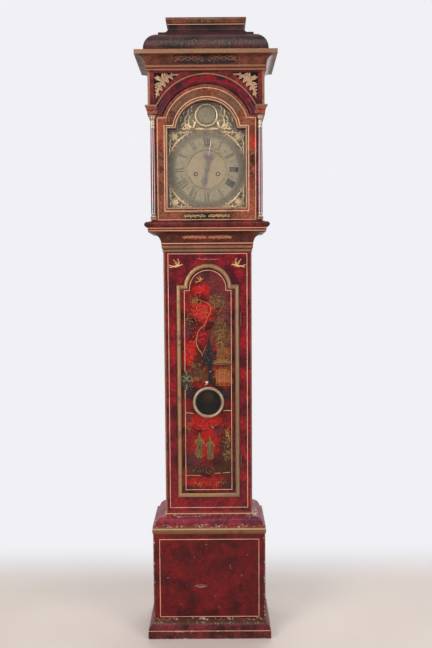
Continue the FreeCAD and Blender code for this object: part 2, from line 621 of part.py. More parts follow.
# The arch moulding springs from short entablatures above the columns, which return along the hood's sides.
arch = sizes("arch", inner=180.5, outer=212.0, inner_height=5.0, ridge=14.0, ridge_height=13.0, outer_height=8.0,
             list_height=16.0, list_width=7.0, bottom=2051.0)
entablature = sizes("entablature", top=2085.0, foot_reach=2.0, head_reach=10.5, list_height=6.0, foot_list=7.0,
                    inner_x=186.0, radius=30.0)
arch_ring = body("arch_ring", 0, case_front, dial.arch_centre, facing_front=True)
revolve(arch_ring, [(arch.inner, 0), (arch.outer, 0), (arch.outer, arch.list_height),
                    (arch.outer - arch.list_width, arch.list_height),
                    (arch.inner + arch.ridge, arch.outer_height, (arch.outer - arch.inner) * 0.45, -1),
                    (arch.inner + arch.ridge, arch.outer_height - arch.inner_height * 0.4),
                    (arch.inner, arch.inner_height, arch.ridge_height, 1)])
cut_line = arch.bottom - dial.arch_centre
pocket(arch_ring, [rectangle(-arch.outer * 1.1, -arch.outer * 1.1, arch.outer * 1.1, cut_line)],
       arch.list_height * 1.2, offset=arch.list_height * 1.1, role="XY_Plane")
side_runs = moulding("entablature_run", case_half, case_front, [
    (0, arch.bottom), (entablature.foot_reach, arch.bottom),
    (entablature.foot_reach, arch.bottom + entablature.foot_list),
    (entablature.head_reach, entablature.top - entablature.list_height, entablature.radius, -1),
    (entablature.head_reach, entablature.top), (0, entablature.top)], back)
pocket(side_runs, [rectangle(case_half - entablature.inner_x, case_front - back - arch.list_height,
                             case_half + entablature.inner_x, case_front - back + hood.board)],
       entablature.top - arch.bottom + arch.list_height, offset=entablature.top + arch.list_height,
       role="XY_Plane")
fused("arch_moulding", [arch_ring, side_runs])

# Pierced spandrels each side of the arch: a leaf scroll cut through a plate.
fret = sizes("fret", side_gap=25.0, top_gap=5.0, arch=236.0, thickness=3.0, rim=4.5)
fret_outer = case_half - fret.side_gap
fret_top = cornice.bottom - fret.top_gap
fret_rise = fret_top - dial.arch_centre
fret_left = leg(fret.arch, fret_rise)
fret_low = leg(fret.arch, fret_outer) + dial.arch_centre
inner_arch = fret.arch + fret.rim
inner_left = leg(inner_arch, fret_rise - fret.rim) + fret.rim
inner_low = leg(inner_arch, fret_outer - fret.rim) + dial.arch_centre + fret.rim
fret_span = fret_outer - fret.rim - inner_left
fret_drop = fret_top - fret.rim - inner_low
fret_piece = body("fret", 0, case_front, 0)
spot_shares = [(0.9, 0.1, 0.075), (0.7, 0.13, 0.085), (0.48, 0.12, 0.07), (0.27, 0.09, 0.05),
               (0.89, 0.33, 0.085), (0.68, 0.36, 0.09), (0.9, 0.56, 0.07), (0.92, 0.76, 0.05)]
pad(fret_piece, [[(fret_left, fret_top), (fret_outer, fret_low, fret.arch, -1), (fret_outer, fret_top)]],
    fret.thickness,
    holes=[(inner_left + fret_span * across, fret_top - fret.rim - fret_drop * down, fret_span * radius)
           for across, down, radius in spot_shares])
mirrored_pair("spandrel_frets", fret_piece)

# Cornice and caddy
keep(moulding("cornice", case_half, case_front, [
    (0, cornice.bottom), (cornice.bead * 0.7, cornice.bottom),
    (cornice.bead * 0.7, bead_1, cornice.bead_height * 0.55, 1), (cornice.bead * 0.65, list_low),
    (cornice.bead, list_low), (cornice.bead, list_high), (cornice.cove_foot, cove_low),
    (cornice.cove_top_reach, cove_high, cornice.cove_height * 1.07, -1), (cornice.reach, cove_high),
    (cornice.reach, cornice_top), (0, cornice_top)], back), "cornice")

caddy = sizes("caddy", bell_half=236.0, neck_half=146.0, bell_height=80.0, bell_radius=72.0, step_half=183.0,
              step_height=8.0, cavetto_height=24.0, cavetto_radius=40.0, neck_height=15.0, core_reach=40.0,
              block_half=155.5, list_half=149.0, list_height=6.0, band_height=11.0, cap_height=9.0)
neck_front = case_front + case_half - caddy.neck_half
bell_top = cornice_top + caddy.bell_height
step_top = bell_top + caddy.step_height
cavetto_top = step_top + caddy.cavetto_height
neck_top = cavetto_top + caddy.neck_height
bell = keep(moulding("caddy_bell", caddy.neck_half, neck_front, [
    (-caddy.core_reach, cornice_top), (caddy.bell_half - caddy.neck_half, cornice_top),
    (caddy.step_half - caddy.neck_half, bell_top, caddy.bell_radius, 1),
    (caddy.step_half - caddy.neck_half, step_top),
    ((caddy.step_half - caddy.neck_half) * 0.85, step_top),
    (0, cavetto_top, caddy.cavetto_radius, -1), (0, neck_top), (-caddy.core_reach, neck_top)], back), "caddy_bell")
fill_core(bell, caddy.neck_half, neck_front, caddy.core_reach, cornice_top, neck_top, back)
block_low = neck_top + caddy.list_height
block_mid = block_low + caddy.band_height
block_top = block_mid + caddy.cap_height
list_reach = caddy.list_half - caddy.neck_half
block_reach = caddy.block_half - caddy.neck_half
caddy_block = keep(moulding("caddy_block", caddy.neck_half, neck_front, [
    (-caddy.core_reach, neck_top), (list_reach, neck_top), (list_reach, block_low), (block_reach * 0.8, block_low),
    (block_reach * 0.8, block_mid), (block_reach, block_mid), (block_reach, block_top),
    (-caddy.core_reach, block_top)], back), "caddy_block")
fill_core(caddy_block, caddy.neck_half, neck_front, caddy.core_reach, neck_top, block_top, back)

# The mask board inside the hood frames the dial.
mask = sizes("mask", back_gap=2.5, thickness=10.0, margin=1.5, side_gap=0.3)
mask_half = hood.wall_half - hood.wall - mask.side_gap
slab("hood_mask", [rectangle(-mask_half, hood_floor, mask_half, cornice_top),
                   break_arch(glass.half + mask.margin, glass.bottom - mask.margin, glass.shoulder + mask.margin,
                              dial.arch_centre, glass.arch + mask.margin)],
     dial.front - mask.back_gap, mask.thickness)

# The movement. Sizes of plates and arbors, then where each arbor stands from the dial's centre.
gearing = sizes("gearing", tip_share=0.5, root_share=0.95)
move = sizes("movement", half=80.0, top=1945.0, front=-31.5, plate=3.5, span=64.0, pivot=0.7, arbor=1.1,
             running=0.05, shoulder=0.5, pillar=4.5, low_pillar_x=52.0, high_pillar_x=66.0, pillar_inset=8.0,
             winding=3.0, stud=1.0, centre_arbor=1.4)
spot = sizes("spot", great_x=43.0, great_drop=16.5, third_x=7.66, third_rise=24.3, escape_rise=45.0,
             pallet_rise=73.0, minute_x=18.0, minute_drop=24.0, pin_x=40.0, pin_rise=23.0, gather_x=24.0,
             gather_rise=42.5, warn_x=38.0, warn_rise=55.6, fly_x=26.0, fly_rise=64.3, hammer_x=54.0,
             hammer_rise=67.5)
centre = (as_size(0), dial.centre)
great_at = (spot.great_x, dial.centre - spot.great_drop)
strike_at = (-spot.great_x, dial.centre - spot.great_drop)
third_at = (spot.third_x, dial.centre + spot.third_rise)
escape_at = (as_size(0), dial.centre + spot.escape_rise)
pallet_at = (as_size(0), dial.centre + spot.pallet_rise)
minute_at = (-spot.minute_x, dial.centre - spot.minute_drop)
pin_at = (-spot.pin_x, dial.centre + spot.pin_rise)
gather_at = (-spot.gather_x, dial.centre + spot.gather_rise)
warn_at = (-spot.warn_x, dial.centre + spot.warn_rise)
fly_at = (-spot.fly_x, dial.centre + spot.fly_rise)
hammer_at = (-spot.hammer_x, dial.centre + spot.hammer_rise)
inside_front = move.front + move.plate
inside_rear = inside_front + move.span
rear_face = inside_rear + move.plate

pivot_hole = move.pivot + move.running
train_holes = [(at[0], at[1], pivot_hole) for at in (third_at, escape_at, pin_at, gather_at, warn_at, fly_at,
                                                     hammer_at)]
winding_holes = [(at[0], at[1], move.winding + move.running) for at in (great_at, strike_at)]
plate_outline = rectangle(-move.half, seat.top, move.half, move.top)
front_plate = slab("front_plate", [plate_outline], inside_front, move.plate,
                   holes=train_holes + winding_holes + [(pallet_at[0], pallet_at[1], pivot_hole),
                                                        (0, dial.centre, move.centre_arbor + move.running)])
stud_length = sizes("stud", length=12.0)
pad(front_plate, [], stud_length.length, holes=[(minute_at[0], minute_at[1], move.stud)], offset=move.plate)

# The back plate carries the riveted pillars and, behind it, the cock that holds the pendulum.
cock = sizes("cock", half=26.0, foot=6.0, bottom=1912.0, top=1944.0, stand_off=8.5, plate=3.0, stud_half=6.0,
             stud_bottom=1928.0, stud_length=9.0, slot=2.4, slot_top=1939.0)
back_plate = keep(body("back_plate", 0, rear_face, 0), "back_plate")
pad(back_plate, [plate_outline], move.plate,
    holes=train_holes + [(0, dial.centre, pivot_hole), (pallet_at[0], pallet_at[1], move.arbor + move.running)]
    + [(at[0], at[1], move.arbor + move.running) for at in (great_at, strike_at)])
pillars = [(side * move.low_pillar_x, seat.top + move.pillar_inset, move.pillar) for side in (-1, 1)]
pillars += [(side * move.high_pillar_x, move.top - move.pillar_inset, move.pillar) for side in (-1, 1)]
pad(back_plate, [], move.span, holes=pillars, offset=move.plate)
feet = [rectangle(side * (cock.half - cock.foot / 2) - cock.foot / 2, cock.bottom,
                  side * (cock.half - cock.foot / 2) + cock.foot / 2, cock.top) for side in (-1, 1)]
pad(back_plate, feet, cock.stand_off, offset=-cock.stand_off)
pad(back_plate, [rectangle(-cock.half, cock.bottom, cock.half, cock.top)], cock.plate,
    holes=[(pallet_at[0], pallet_at[1], pivot_hole)], offset=-cock.stand_off - cock.plate)
stud_back = -cock.stand_off - cock.plate - cock.stud_length
pad(back_plate, [[(-cock.stud_half, cock.stud_bottom), (-cock.slot / 2, cock.stud_bottom),
                  (-cock.slot / 2, cock.slot_top), (cock.slot / 2, cock.slot_top),
                  (cock.slot / 2, cock.stud_bottom), (cock.stud_half, cock.stud_bottom),
                  (cock.stud_half, cock.top), (-cock.stud_half, cock.top)]], cock.stud_length, offset=stud_back)

# Seatboard on the cheeks, bored for the weight lines.
barrel = sizes("barrel", radius=24.0, flange=26.0, flange_width=2.0, front=-16.0, length=43.0, wheel=3.0,
               drum=18.0, square=4.0, square_end=-64.5)
line = sizes("line", radius=1.0, hole=4.0, knot_hole=2.4, knot=3.6, knot_height=5.0, depth_y=5.0)
pulley = sizes("pulley", line_radius=20.0, rim=22.5, half_width=5.0, groove=2.6, groove_foot=1.3, bore=2.06,
               axle=2.0, rest_z=800.0, floor_gap=0.15)
line_x = spot.great_x + barrel.radius + line.radius
pulley_x = line_x - pulley.line_radius
tie_x = pulley_x - pulley.line_radius
seatboard = slab("seatboard", [rectangle(-trunk_half, seat.top - seat.thickness, trunk_half, seat.top)],
                 seat.rear, seat.rear - seat.front)
pocket(seatboard, [], seat.thickness, role="XY_Plane", offset=seat.top,
       holes=[(side * line_x, line.depth_y - seat.rear, line.hole) for side in (-1, 1)]
       + [(side * tie_x, line.depth_y - seat.rear, line.knot_hole) for side in (-1, 1)])


# An arbor between the plates, with a pivot in each.
def arbor(at, front_pivot=True, rear_pivot=True):
    parts = [rod(at[0], at[1], inside_front + move.shoulder, inside_rear - move.shoulder, move.arbor)]
    if front_pivot:
        parts.append(rod(at[0], at[1], move.front, inside_front + move.shoulder, move.pivot))
    if rear_pivot:
        parts.append(rod(at[0], at[1], inside_rear - move.shoulder, rear_face, move.pivot))
    return parts


# Module that puts two toothed wheels in mesh at their arbors' distance.
def mesh_module(one, other, teeth_one, teeth_other):
    distance = math.hypot(other[0].value - one[0].value, other[1].value - one[1].value)
    return as_size(2 * distance / (teeth_one + teeth_other))


# Turn of the driven wheel that puts its gap on the driver's tooth along the line of centres.
def mesh_turn(one, other, teeth_one, teeth_other, turn_one):
    towards = math.atan2(other[1].value - one[1].value, other[0].value - one[0].value)
    phase = (towards - math.pi / 2 - turn_one) * teeth_one / (2 * math.pi)
    return towards + math.pi / 2 - 2 * math.pi / teeth_other * (0.5 - phase)


# Both halves of a mesh: the wheel on one arbor and the pinion on the next, each between its own depths.
def mesh(one, other, teeth_one, teeth_other, depths_one, depths_other):
    module = mesh_module(one, other, teeth_one, teeth_other)
    turn = mesh_turn(one, other, teeth_one, teeth_other, 0.0)
    return (gear(one[0], one[1], depths_one[0], depths_one[1], teeth_one, module),
            gear(other[0], other[1], depths_other[0], depths_other[1], teeth_other, module, turn))


def depths(start, thickness):
    return (start, start + thickness)


# Whole numbers of teeth.
def counts(**given):
    return SimpleNamespace(**{name: round(number) for name, number in given.items()})


# Wheel and pinion depths along the arbors, and the wheels' thicknesses.
layer = sizes("layer", great=-22.0, centre_pinion=-23.5, centre_wheel=29.5, third_pinion=27.5, third_wheel=-12.0,
              escape_pinion=-14.0, escape_wheel=24.0, motion=-36.0, hour=-41.0, snail=-43.5, minute_pinion=-42.0,
              pin_wheel=33.0, gather_pinion=31.5, gather_wheel=8.0, warn_pinion=6.5, warn_wheel=-4.0,
              fly_pinion=-5.5, wheel=1.5, pinion=5.0, short_pinion=3.8, cannon_end=-70.5, hour_end=-67.5,
              hand_end=-73.0)
teeth = counts(great=96, centre_pinion=8, centre=60, third_pinion=8, third=56, escape_pinion=7,
               escape=30, cannon=40, minute=40, minute_pinion=6, hour=72, strike_great=84,
               pin_pinion=8, pin=64, gather_pinion=8, gather=56, warn_pinion=8, warn=48,
               fly_pinion=6)
great_wheel, centre_pinion = mesh(great_at, centre, teeth.great, teeth.centre_pinion,
                                  depths(layer.great, barrel.wheel), depths(layer.centre_pinion, layer.pinion))
centre_wheel, third_pinion = mesh(centre, third_at, teeth.centre, teeth.third_pinion,
                                  depths(layer.centre_wheel, layer.wheel), depths(layer.third_pinion, layer.pinion))
third_wheel, escape_pinion = mesh(third_at, escape_at, teeth.third, teeth.escape_pinion,
                                  depths(layer.third_wheel, layer.wheel), depths(layer.escape_pinion, layer.pinion))
cannon_wheel, minute_wheel = mesh(centre, minute_at, teeth.cannon, teeth.minute,
                                  depths(layer.motion, layer.wheel), depths(layer.motion, layer.wheel))
hour_wheel, minute_pinion = mesh(centre, minute_at, teeth.hour, teeth.minute_pinion,
                                 depths(layer.hour, layer.wheel), (layer.minute_pinion, layer.motion))
strike_wheel, pin_pinion = mesh(strike_at, pin_at, teeth.strike_great, teeth.pin_pinion,
                                depths(layer.great, barrel.wheel), depths(layer.centre_pinion, layer.pinion))
pin_wheel, gather_pinion = mesh(pin_at, gather_at, teeth.pin, teeth.gather_pinion,
                                depths(layer.pin_wheel, layer.wheel), depths(layer.gather_pinion, layer.short_pinion))
gather_wheel, warn_pinion = mesh(gather_at, warn_at, teeth.gather, teeth.warn_pinion,
                                 depths(layer.gather_wheel, layer.wheel), depths(layer.warn_pinion, layer.pinion))
warn_wheel, fly_pinion = mesh(warn_at, fly_at, teeth.warn, teeth.fly_pinion,
                              depths(layer.warn_wheel, layer.wheel), depths(layer.fly_pinion, layer.pinion))


def join(solids):
    return solids[0].fuse(solids[1:]).removeSplitter()


# A great wheel carries its barrel, and its arbor ends in the winding square.
def great_arbor(at, wheel_solid):
    barrel_end = barrel.front + barrel.length
    square = barrel.square / 2
    return join([rod(at[0], at[1], move.front, inside_rear - move.shoulder, move.winding),
                 rod(at[0], at[1], inside_rear - move.shoulder, rear_face, move.arbor),
                 block(at[0] - square, at[0] + square, barrel.square_end, move.front, at[1] - square,
                       at[1] + square), wheel_solid,
                 rod(at[0], at[1], layer.great + barrel.wheel, barrel.front, barrel.drum),
                 rod(at[0], at[1], barrel.front, barrel_end, barrel.radius),
                 rod(at[0], at[1], barrel.front, barrel.front + barrel.flange_width, barrel.flange),
                 rod(at[0], at[1], barrel_end - barrel.flange_width, barrel_end, barrel.flange)])


feature("going_great_wheel", great_arbor(great_at, great_wheel))
feature("strike_great_wheel", great_arbor(strike_at, strike_wheel))

# The centre arbor comes out through the dial and carries the minute hand on its cannon.
cannon = sizes("cannon", outer=2.3, pipe=3.6, snail=15.0, snail_step=0.75)
feature("centre_arbor", join([
    rod(centre[0], centre[1], layer.hand_end, inside_rear - move.shoulder, move.centre_arbor),
    rod(centre[0], centre[1], inside_rear - move.shoulder, rear_face, move.pivot),
    rod(centre[0], centre[1], layer.cannon_end, layer.motion + layer.wheel, cannon.outer), cannon_wheel,
    centre_pinion, centre_wheel]))
feature("third_wheel", join(arbor(third_at) + [third_wheel, third_pinion]))

# The hour wheel's pipe runs on the cannon, and its snail has one step for each hour.
snail_points = []
for hour in range(12):
    reach = (cannon.snail - cannon.snail_step * hour).value
    for turn in (hour, hour + 1):
        angle = math.pi / 6 * turn
        snail_points.append(FreeCAD.Vector(reach * math.cos(angle), layer.snail.value,
                                           centre[1].value + reach * math.sin(angle)))
snail = Part.Face(Part.makePolygon(snail_points + snail_points[:1])).extrude(
    FreeCAD.Vector(0, layer.wheel.value, 0))
pipe_hole = rod(centre[0], centre[1], layer.hour_end * 2, move.front, cannon.outer + move.running)
feature("hour_wheel", join([rod(centre[0], centre[1], layer.hour_end, layer.hour + layer.wheel, cannon.pipe),
                            snail, hour_wheel]).cut(pipe_hole))
feature("minute_wheel", join([minute_wheel, minute_pinion]).cut(
    rod(minute_at[0], minute_at[1], layer.minute_pinion * 2, move.front, move.stud + move.running)))

# Escape wheel with leaning pointed teeth, and the anchor over it on the pendulum's axis.
escape = sizes("escape", radius=17.5, tooth=3.2, pallet_gap=1.4, arm=3.0, nib=3.4, hub=4.5, thickness=3.0,
               lean_share=0.32, crutch_y=43.0, crutch=3.0, crutch_width=4.0, fork_z=1800.0, fork_height=8.0,
               fork_gap=0.5, prong=2.0, fork_end=61.0)
escape_points = []
for tooth in range(teeth.escape):
    for radius, step in ((escape.radius, 0.0), (escape.radius - escape.tooth, escape.lean_share.value)):
        angle = 2 * math.pi * (tooth + step) / teeth.escape
        escape_points.append(FreeCAD.Vector(radius.value * math.cos(angle), layer.escape_wheel.value,
                                            escape_at[1].value + radius.value * math.sin(angle)))
escape_disc = Part.Face(Part.makePolygon(escape_points + escape_points[:1])).extrude(
    FreeCAD.Vector(0, layer.wheel.value, 0))
feature("escape_wheel", join(arbor(escape_at) + [escape_disc, escape_pinion]))

pendulum = sizes("pendulum", plane_y=55.0, rod=2.5, strip=0.4, strip_width=7.0, strip_top=1937.0,
                 strip_foot=1900.0, chops=12.0, chops_half=4.0, bob_z=930.5, bob=60.0, bob_half=12.0,
                 nut_z=856.0, nut=9.0, nut_height=8.0, rod_end=842.0)
nib_reach = (escape.radius + escape.pallet_gap) * math.sqrt(0.5)
nib_z = escape_at[1] + nib_reach
anchor_start = layer.escape_wheel - escape.thickness / 4
outline = [(0, pallet_at[1] + escape.hub), (nib_reach + escape.arm, nib_z + escape.nib * 1.5),
           (nib_reach + escape.nib, nib_z + escape.nib * 0.2), (nib_reach, nib_z),
           (nib_reach - escape.nib * 0.3, nib_z + escape.nib), (escape.hub, pallet_at[1] - escape.hub),
           (0, pallet_at[1] - escape.hub)]
corners = [FreeCAD.Vector(as_size(point[0]).value * side, anchor_start.value, point[1].value)
           for side, points in ((1, outline), (-1, outline[-2:0:-1])) for point in points]
anchor_plate = Part.Face(Part.makePolygon(corners + corners[:1])).extrude(
    FreeCAD.Vector(0, escape.thickness.value, 0))
crutch_end = escape.crutch_y + escape.crutch
prong_inner = pendulum.rod + escape.fork_gap
fork_low = escape.fork_z - escape.fork_height / 2
fork_high = escape.fork_z + escape.fork_height / 2
cock_front = rear_face + cock.stand_off
feature("anchor", join(arbor(pallet_at, rear_pivot=False) + [
    anchor_plate, rod(pallet_at[0], pallet_at[1], inside_rear - move.shoulder, cock_front - move.shoulder,
                      move.arbor),
    rod(pallet_at[0], pallet_at[1], cock_front - move.shoulder, cock_front + cock.plate, move.pivot),
    rod(pallet_at[0], pallet_at[1], escape.crutch_y, crutch_end, escape.hub),
    block(-escape.crutch_width / 2, escape.crutch_width / 2, escape.crutch_y, crutch_end, fork_low,
          pallet_at[1]),
    block(-prong_inner - escape.prong, prong_inner + escape.prong, escape.crutch_y, crutch_end, fork_low,
          fork_high)]
    + [block(side * (prong_inner + escape.prong / 2) - escape.prong / 2,
             side * (prong_inner + escape.prong / 2) + escape.prong / 2, crutch_end, escape.fork_end, fork_low,
             fork_high) for side in (-1, 1)]))

# Seconds pendulum: a spring strip in the cock, a rod and a lens-shaped bob over its rating nut.
bob_sphere = (pendulum.bob.value ** 2 + pendulum.bob_half.value ** 2) / (2 * pendulum.bob_half.value)
bob_offset = bob_sphere - pendulum.bob_half.value
lens = [Part.makeSphere(bob_sphere, FreeCAD.Vector(0, pendulum.plane_y.value + side * bob_offset,
                                                   pendulum.bob_z.value)) for side in (-1, 1)]
bob = lens[0].common(lens[1])


def upright(x, y, low, high, radius):
    return Part.makeCylinder(as_size(radius).value, (high - low).value,
                             FreeCAD.Vector(as_size(x).value, as_size(y).value, low.value))


feature("pendulum", join([
    bob, upright(0, pendulum.plane_y, pendulum.rod_end, pendulum.strip_foot - pendulum.chops, pendulum.rod),
    upright(0, pendulum.plane_y, pendulum.nut_z, pendulum.nut_z + pendulum.nut_height, pendulum.nut),
    block(-pendulum.chops_half, pendulum.chops_half, pendulum.plane_y - pendulum.chops_half,
          pendulum.plane_y + pendulum.chops_half, pendulum.strip_foot - pendulum.chops, pendulum.strip_foot),
    block(-pendulum.strip / 2, pendulum.strip / 2, pendulum.plane_y - pendulum.strip_width / 2,
          pendulum.plane_y + pendulum.strip_width / 2, pendulum.strip_foot - pendulum.chops / 2,
          pendulum.strip_top)]))

# Striking train, from the pin wheel, whose pins lift the hammer, to the fly that slows it.
strike = sizes("strike", pin=0.8, pin_ring=17.0, pin_length=3.0, vane=12.0, vane_start=-26.0, vane_length=19.0,
               vane_thickness=1.2)
pins = []
for number in range(8):
    angle = math.pi / 4 * number
    reach_x = pin_at[0] + strike.pin_ring * math.cos(angle)
    reach_z = pin_at[1] + strike.pin_ring * math.sin(angle)
    pins.append(rod(reach_x, reach_z, layer.pin_wheel - strike.pin_length, layer.pin_wheel + layer.wheel / 2,
                    strike.pin))
feature("pin_wheel", join(arbor(pin_at) + [pin_wheel, pin_pinion] + pins))
feature("gathering_wheel", join(arbor(gather_at) + [gather_wheel, gather_pinion]))
feature("warning_wheel", join(arbor(warn_at) + [warn_wheel, warn_pinion]))
feature("fly", join(arbor(fly_at) + [fly_pinion, block(
    fly_at[0] - strike.vane, fly_at[0] + strike.vane, strike.vane_start, strike.vane_start + strike.vane_length,
    fly_at[1] - strike.vane_thickness / 2, fly_at[1] + strike.vane_thickness / 2)]))

# Bell on its stand over the plates, and the hammer beside it.
gong = sizes("bell", radius=46.0, y=5.0, bottom=1958.0, height=40.0, wall=2.5, lip_height=10.0, curve=50.0,
             post=2.0, hole=2.1, crown=6.0, collar=4.0, nut=2.5, arm=3.0, arm_height=4.0, arm_gap=1.5, foot=6.0,
             foot_height=25.0, head=6.0, head_length=15.0, head_z=1964.0, strike_gap=1.5, hammer_arm=1.5,
             tail=16.0)
bell_body = body("bell_shell", 0, gong.y, gong.bottom)
revolve(bell_body, [(gong.radius - gong.wall, 0), (gong.radius, 0), (gong.radius * 0.98, gong.lip_height),
                    (gong.crown, gong.height, gong.curve, 1), (gong.hole, gong.height),
                    (gong.hole, gong.height - gong.wall), (gong.crown, gong.height - gong.wall),
                    (gong.radius * 0.98 - gong.wall, gong.lip_height, gong.curve - gong.wall, -1)])
bell_seat = gong.bottom + gong.height - gong.wall
arm_low = move.top + gong.arm_gap
arm_high = arm_low + gong.arm_height
stand = doc.addObject("Part::Feature", "bell_stand")
stand.Shape = join([
    upright(0, gong.y, arm_low, bell_seat + gong.wall + gong.nut * 2, gong.post),
    upright(0, gong.y, bell_seat - gong.nut, bell_seat, gong.collar),
    upright(0, gong.y, bell_seat + gong.wall, bell_seat + gong.wall + gong.nut, gong.collar),
    block(-gong.arm, gong.arm, gong.y - gong.arm, rear_face + gong.arm, arm_low, arm_high),
    block(-gong.foot, gong.foot, rear_face, rear_face + gong.arm, arm_high - gong.foot_height, arm_high)])
bell_pair = doc.addObject("Part::Compound", "bell")
bell_pair.Links = [bell_body, stand]
keep(bell_pair, "bell")
head_end = -gong.radius - gong.strike_gap
head = Part.makeCylinder(gong.head.value, gong.head_length.value,
                         FreeCAD.Vector((head_end - gong.head_length).value, gong.y.value, gong.head_z.value),
                         FreeCAD.Vector(1, 0, 0))
feature("hammer", join(arbor(hammer_at) + [
    head, block(hammer_at[0] - gong.hammer_arm, hammer_at[0] + gong.hammer_arm, gong.y - gong.hammer_arm,
                gong.y + gong.hammer_arm, hammer_at[1] - gong.tail, gong.head_z)]))

# Dial: a plate on four feet, the chapter ring, and cast spandrels in the corners and the arch.
ring_size = sizes("chapter", inner=77.0, outer=140.0, thickness=1.5)
dial_feet = sizes("dial_feet", x=70.0, low=1800.0, high=1925.0, radius=3.0, winding_hole=6.0, centre_hole=4.5)
dial_gap = move.front - dial.front - dial.thickness
dial_half = dial.width / 2
winding = [(at[0], at[1], dial_feet.winding_hole) for at in (great_at, strike_at)]
dial_plate = keep(body("dial_plate", 0, move.front, 0), "dial_plate")
pad(dial_plate, [break_arch(dial_half, dial.centre - dial_half, dial.centre + dial_half, dial.arch_centre,
                            dial.arch)], dial.thickness,
    holes=winding + [(0, dial.centre, dial_feet.centre_hole)], offset=dial_gap)
pad(dial_plate, [], dial_gap, holes=[(side * dial_feet.x, height, dial_feet.radius) for side in (-1, 1)
                                     for height in (dial_feet.low, dial_feet.high)])
chapter_ring = keep(body("chapter_ring", 0, dial.front, dial.centre, facing_front=True), "chapter_ring")
revolve(chapter_ring, [(ring_size.inner, 0), (ring_size.outer, 0), (ring_size.outer, ring_size.thickness),
                       (ring_size.inner, ring_size.thickness)])
spandrel = sizes("spandrel", corner=147.0, tip=64.0, thickness=2.2, arch_outer=109.6, arch_tip_x=68.0,
                 arch_low=2006.0, arch_inner_x=56.0, arch_radius=62.0, boss_z=2055.5, boss=46.0, boss_rim=40.0,
                 boss_rise=3.6)
spandrel_radius = Size(math.hypot(spandrel.corner.value, spandrel.tip.value),
                       "sqrt(%s ^ 2 + %s ^ 2)" % (spandrel.corner.text, spandrel.tip.text))
leaf_shares = [(0.9, 0.9, 0.045), (0.77, 0.91, 0.032), (0.91, 0.77, 0.032), (0.66, 0.95, 0.018),
               (0.95, 0.66, 0.018)]
corner_loops, corner_holes = [], []
for side in (-1, 1):
    for rise in (-1, 1):
        corner_loops.append([
            (side * spandrel.corner, dial.centre + rise * spandrel.corner),
            (side * spandrel.tip, dial.centre + rise * spandrel.corner),
            (side * spandrel.corner, dial.centre + rise * spandrel.tip, spandrel_radius, -side * rise)])
        corner_holes += [(side * spandrel.corner * across, dial.centre + rise * (spandrel.corner * up),
                          spandrel.corner * radius) for across, up, radius in leaf_shares]
arch_low_x = leg(spandrel.arch_outer, spandrel.arch_low - dial.arch_centre)
arch_tip_z = leg(spandrel.arch_outer, spandrel.arch_tip_x) + dial.arch_centre
for side in (-1, 1):
    corner_loops.append([
        (side * arch_low_x, spandrel.arch_low),
        (side * spandrel.arch_tip_x, arch_tip_z, spandrel.arch_outer, side),
        (side * spandrel.arch_inner_x, spandrel.arch_low, spandrel.arch_radius, -side)])
castings = slab("dial_spandrels", corner_loops, dial.front, spandrel.thickness,
                holes=corner_holes + [(0, spandrel.boss_z, spandrel.boss)])
pad(castings, [], spandrel.boss_rise - spandrel.thickness, holes=[(0, spandrel.boss_z, spandrel.boss_rim)],
    offset=spandrel.thickness)


# Hands, drawn pointing up and then turned to the time shown.
def hand(label, hand_back, thickness, hour_angle, loops, holes):
    piece = keep(body(label, 0, hand_back, dial.centre), label)
    piece.Placement.Rotation = FreeCAD.Rotation(FreeCAD.Vector(0, 1, 0), hour_angle)
    pad(piece, loops, thickness, holes)
    return piece


# A closed outline from its right half, listed upwards. A point with a radius ends an arc.
def both_sides(half):
    way_back = [(-half[number][0], half[number][1]) + tuple(half[number + 1][2:])
                for number in range(len(half) - 2, -1, -1)]
    return half + way_back


# Points given as shares of a head's half width, height and half width, as real places above the centre.
def head_points(head, shares):
    points = []
    for across, up, *arc in shares:
        point = (head.half * across, head.foot + head.height * up)
        points.append(point + (head.half * arc[0], arc[1]) if arc else point)
    return points


def head_holes(head, shares):
    return [(head.half * across, head.foot + head.height * up, head.half * radius) for across, up, radius in shares]


# A plain stem between two heights above the centre.
def stem(half_width, low, high):
    return [(-half_width, low), (half_width, low), (half_width, high), (-half_width, high)]


hands = sizes("hands", thickness=1.0, minute_length=116.0, minute_point=0.6, minute_stem=1.7, minute_boss=6.0,
              loop_height=24.0, loop=6.4, loop_eye=3.4, hour_boss=8.0, hour_stem=2.1, lap=1.5)
crown = sizes("crown", foot=33.0, height=37.0, half=18.5)
leaf = sizes("leaf", foot=30.0, height=44.0, half=11.0)
minute_degrees = 8.5
hour_degrees = 191.0
crown_outline = head_points(crown, [
    (0.12, 0.0), (0.49, 0.15, 0.34, 1), (1.0, 0.43, 0.52, 1), (0.68, 0.73, 0.44, 1), (0.38, 0.66, 0.24, -1),
    (0.17, 0.81, 0.26, 1), (0.09, 1.0, 0.5, -1)])
minute_tip = [(hands.minute_point, hands.minute_length * 0.95), (0, hands.minute_length)]
minute_hand = hand("minute_hand", layer.cannon_end, hands.thickness, minute_degrees,
                   [both_sides(crown_outline + minute_tip)],
                   head_holes(crown, [(0.5, 0.44, 0.24), (-0.5, 0.44, 0.24), (0, 0.3, 0.15), (0, 0.6, 0.15),
                                      (0.66, 0.62, 0.08), (-0.66, 0.62, 0.08)]))
for low, high in ((hands.minute_boss - hands.lap, hands.loop_height - hands.loop + hands.lap),
                  (hands.loop_height + hands.loop - hands.lap, crown.foot + hands.lap)):
    pad(minute_hand, [stem(hands.minute_stem, low, high)], hands.thickness)
pad(minute_hand, [], hands.thickness, holes=[(0, hands.loop_height, hands.loop),
                                             (0, hands.loop_height, hands.loop_eye)])
centre_bore = (0, 0, move.centre_arbor + move.running)
minute_collar = sizes("minute_collar", radius=4.0, height=0.8)
pad(minute_hand, [], hands.thickness, holes=[(0, 0, hands.minute_boss), centre_bore])
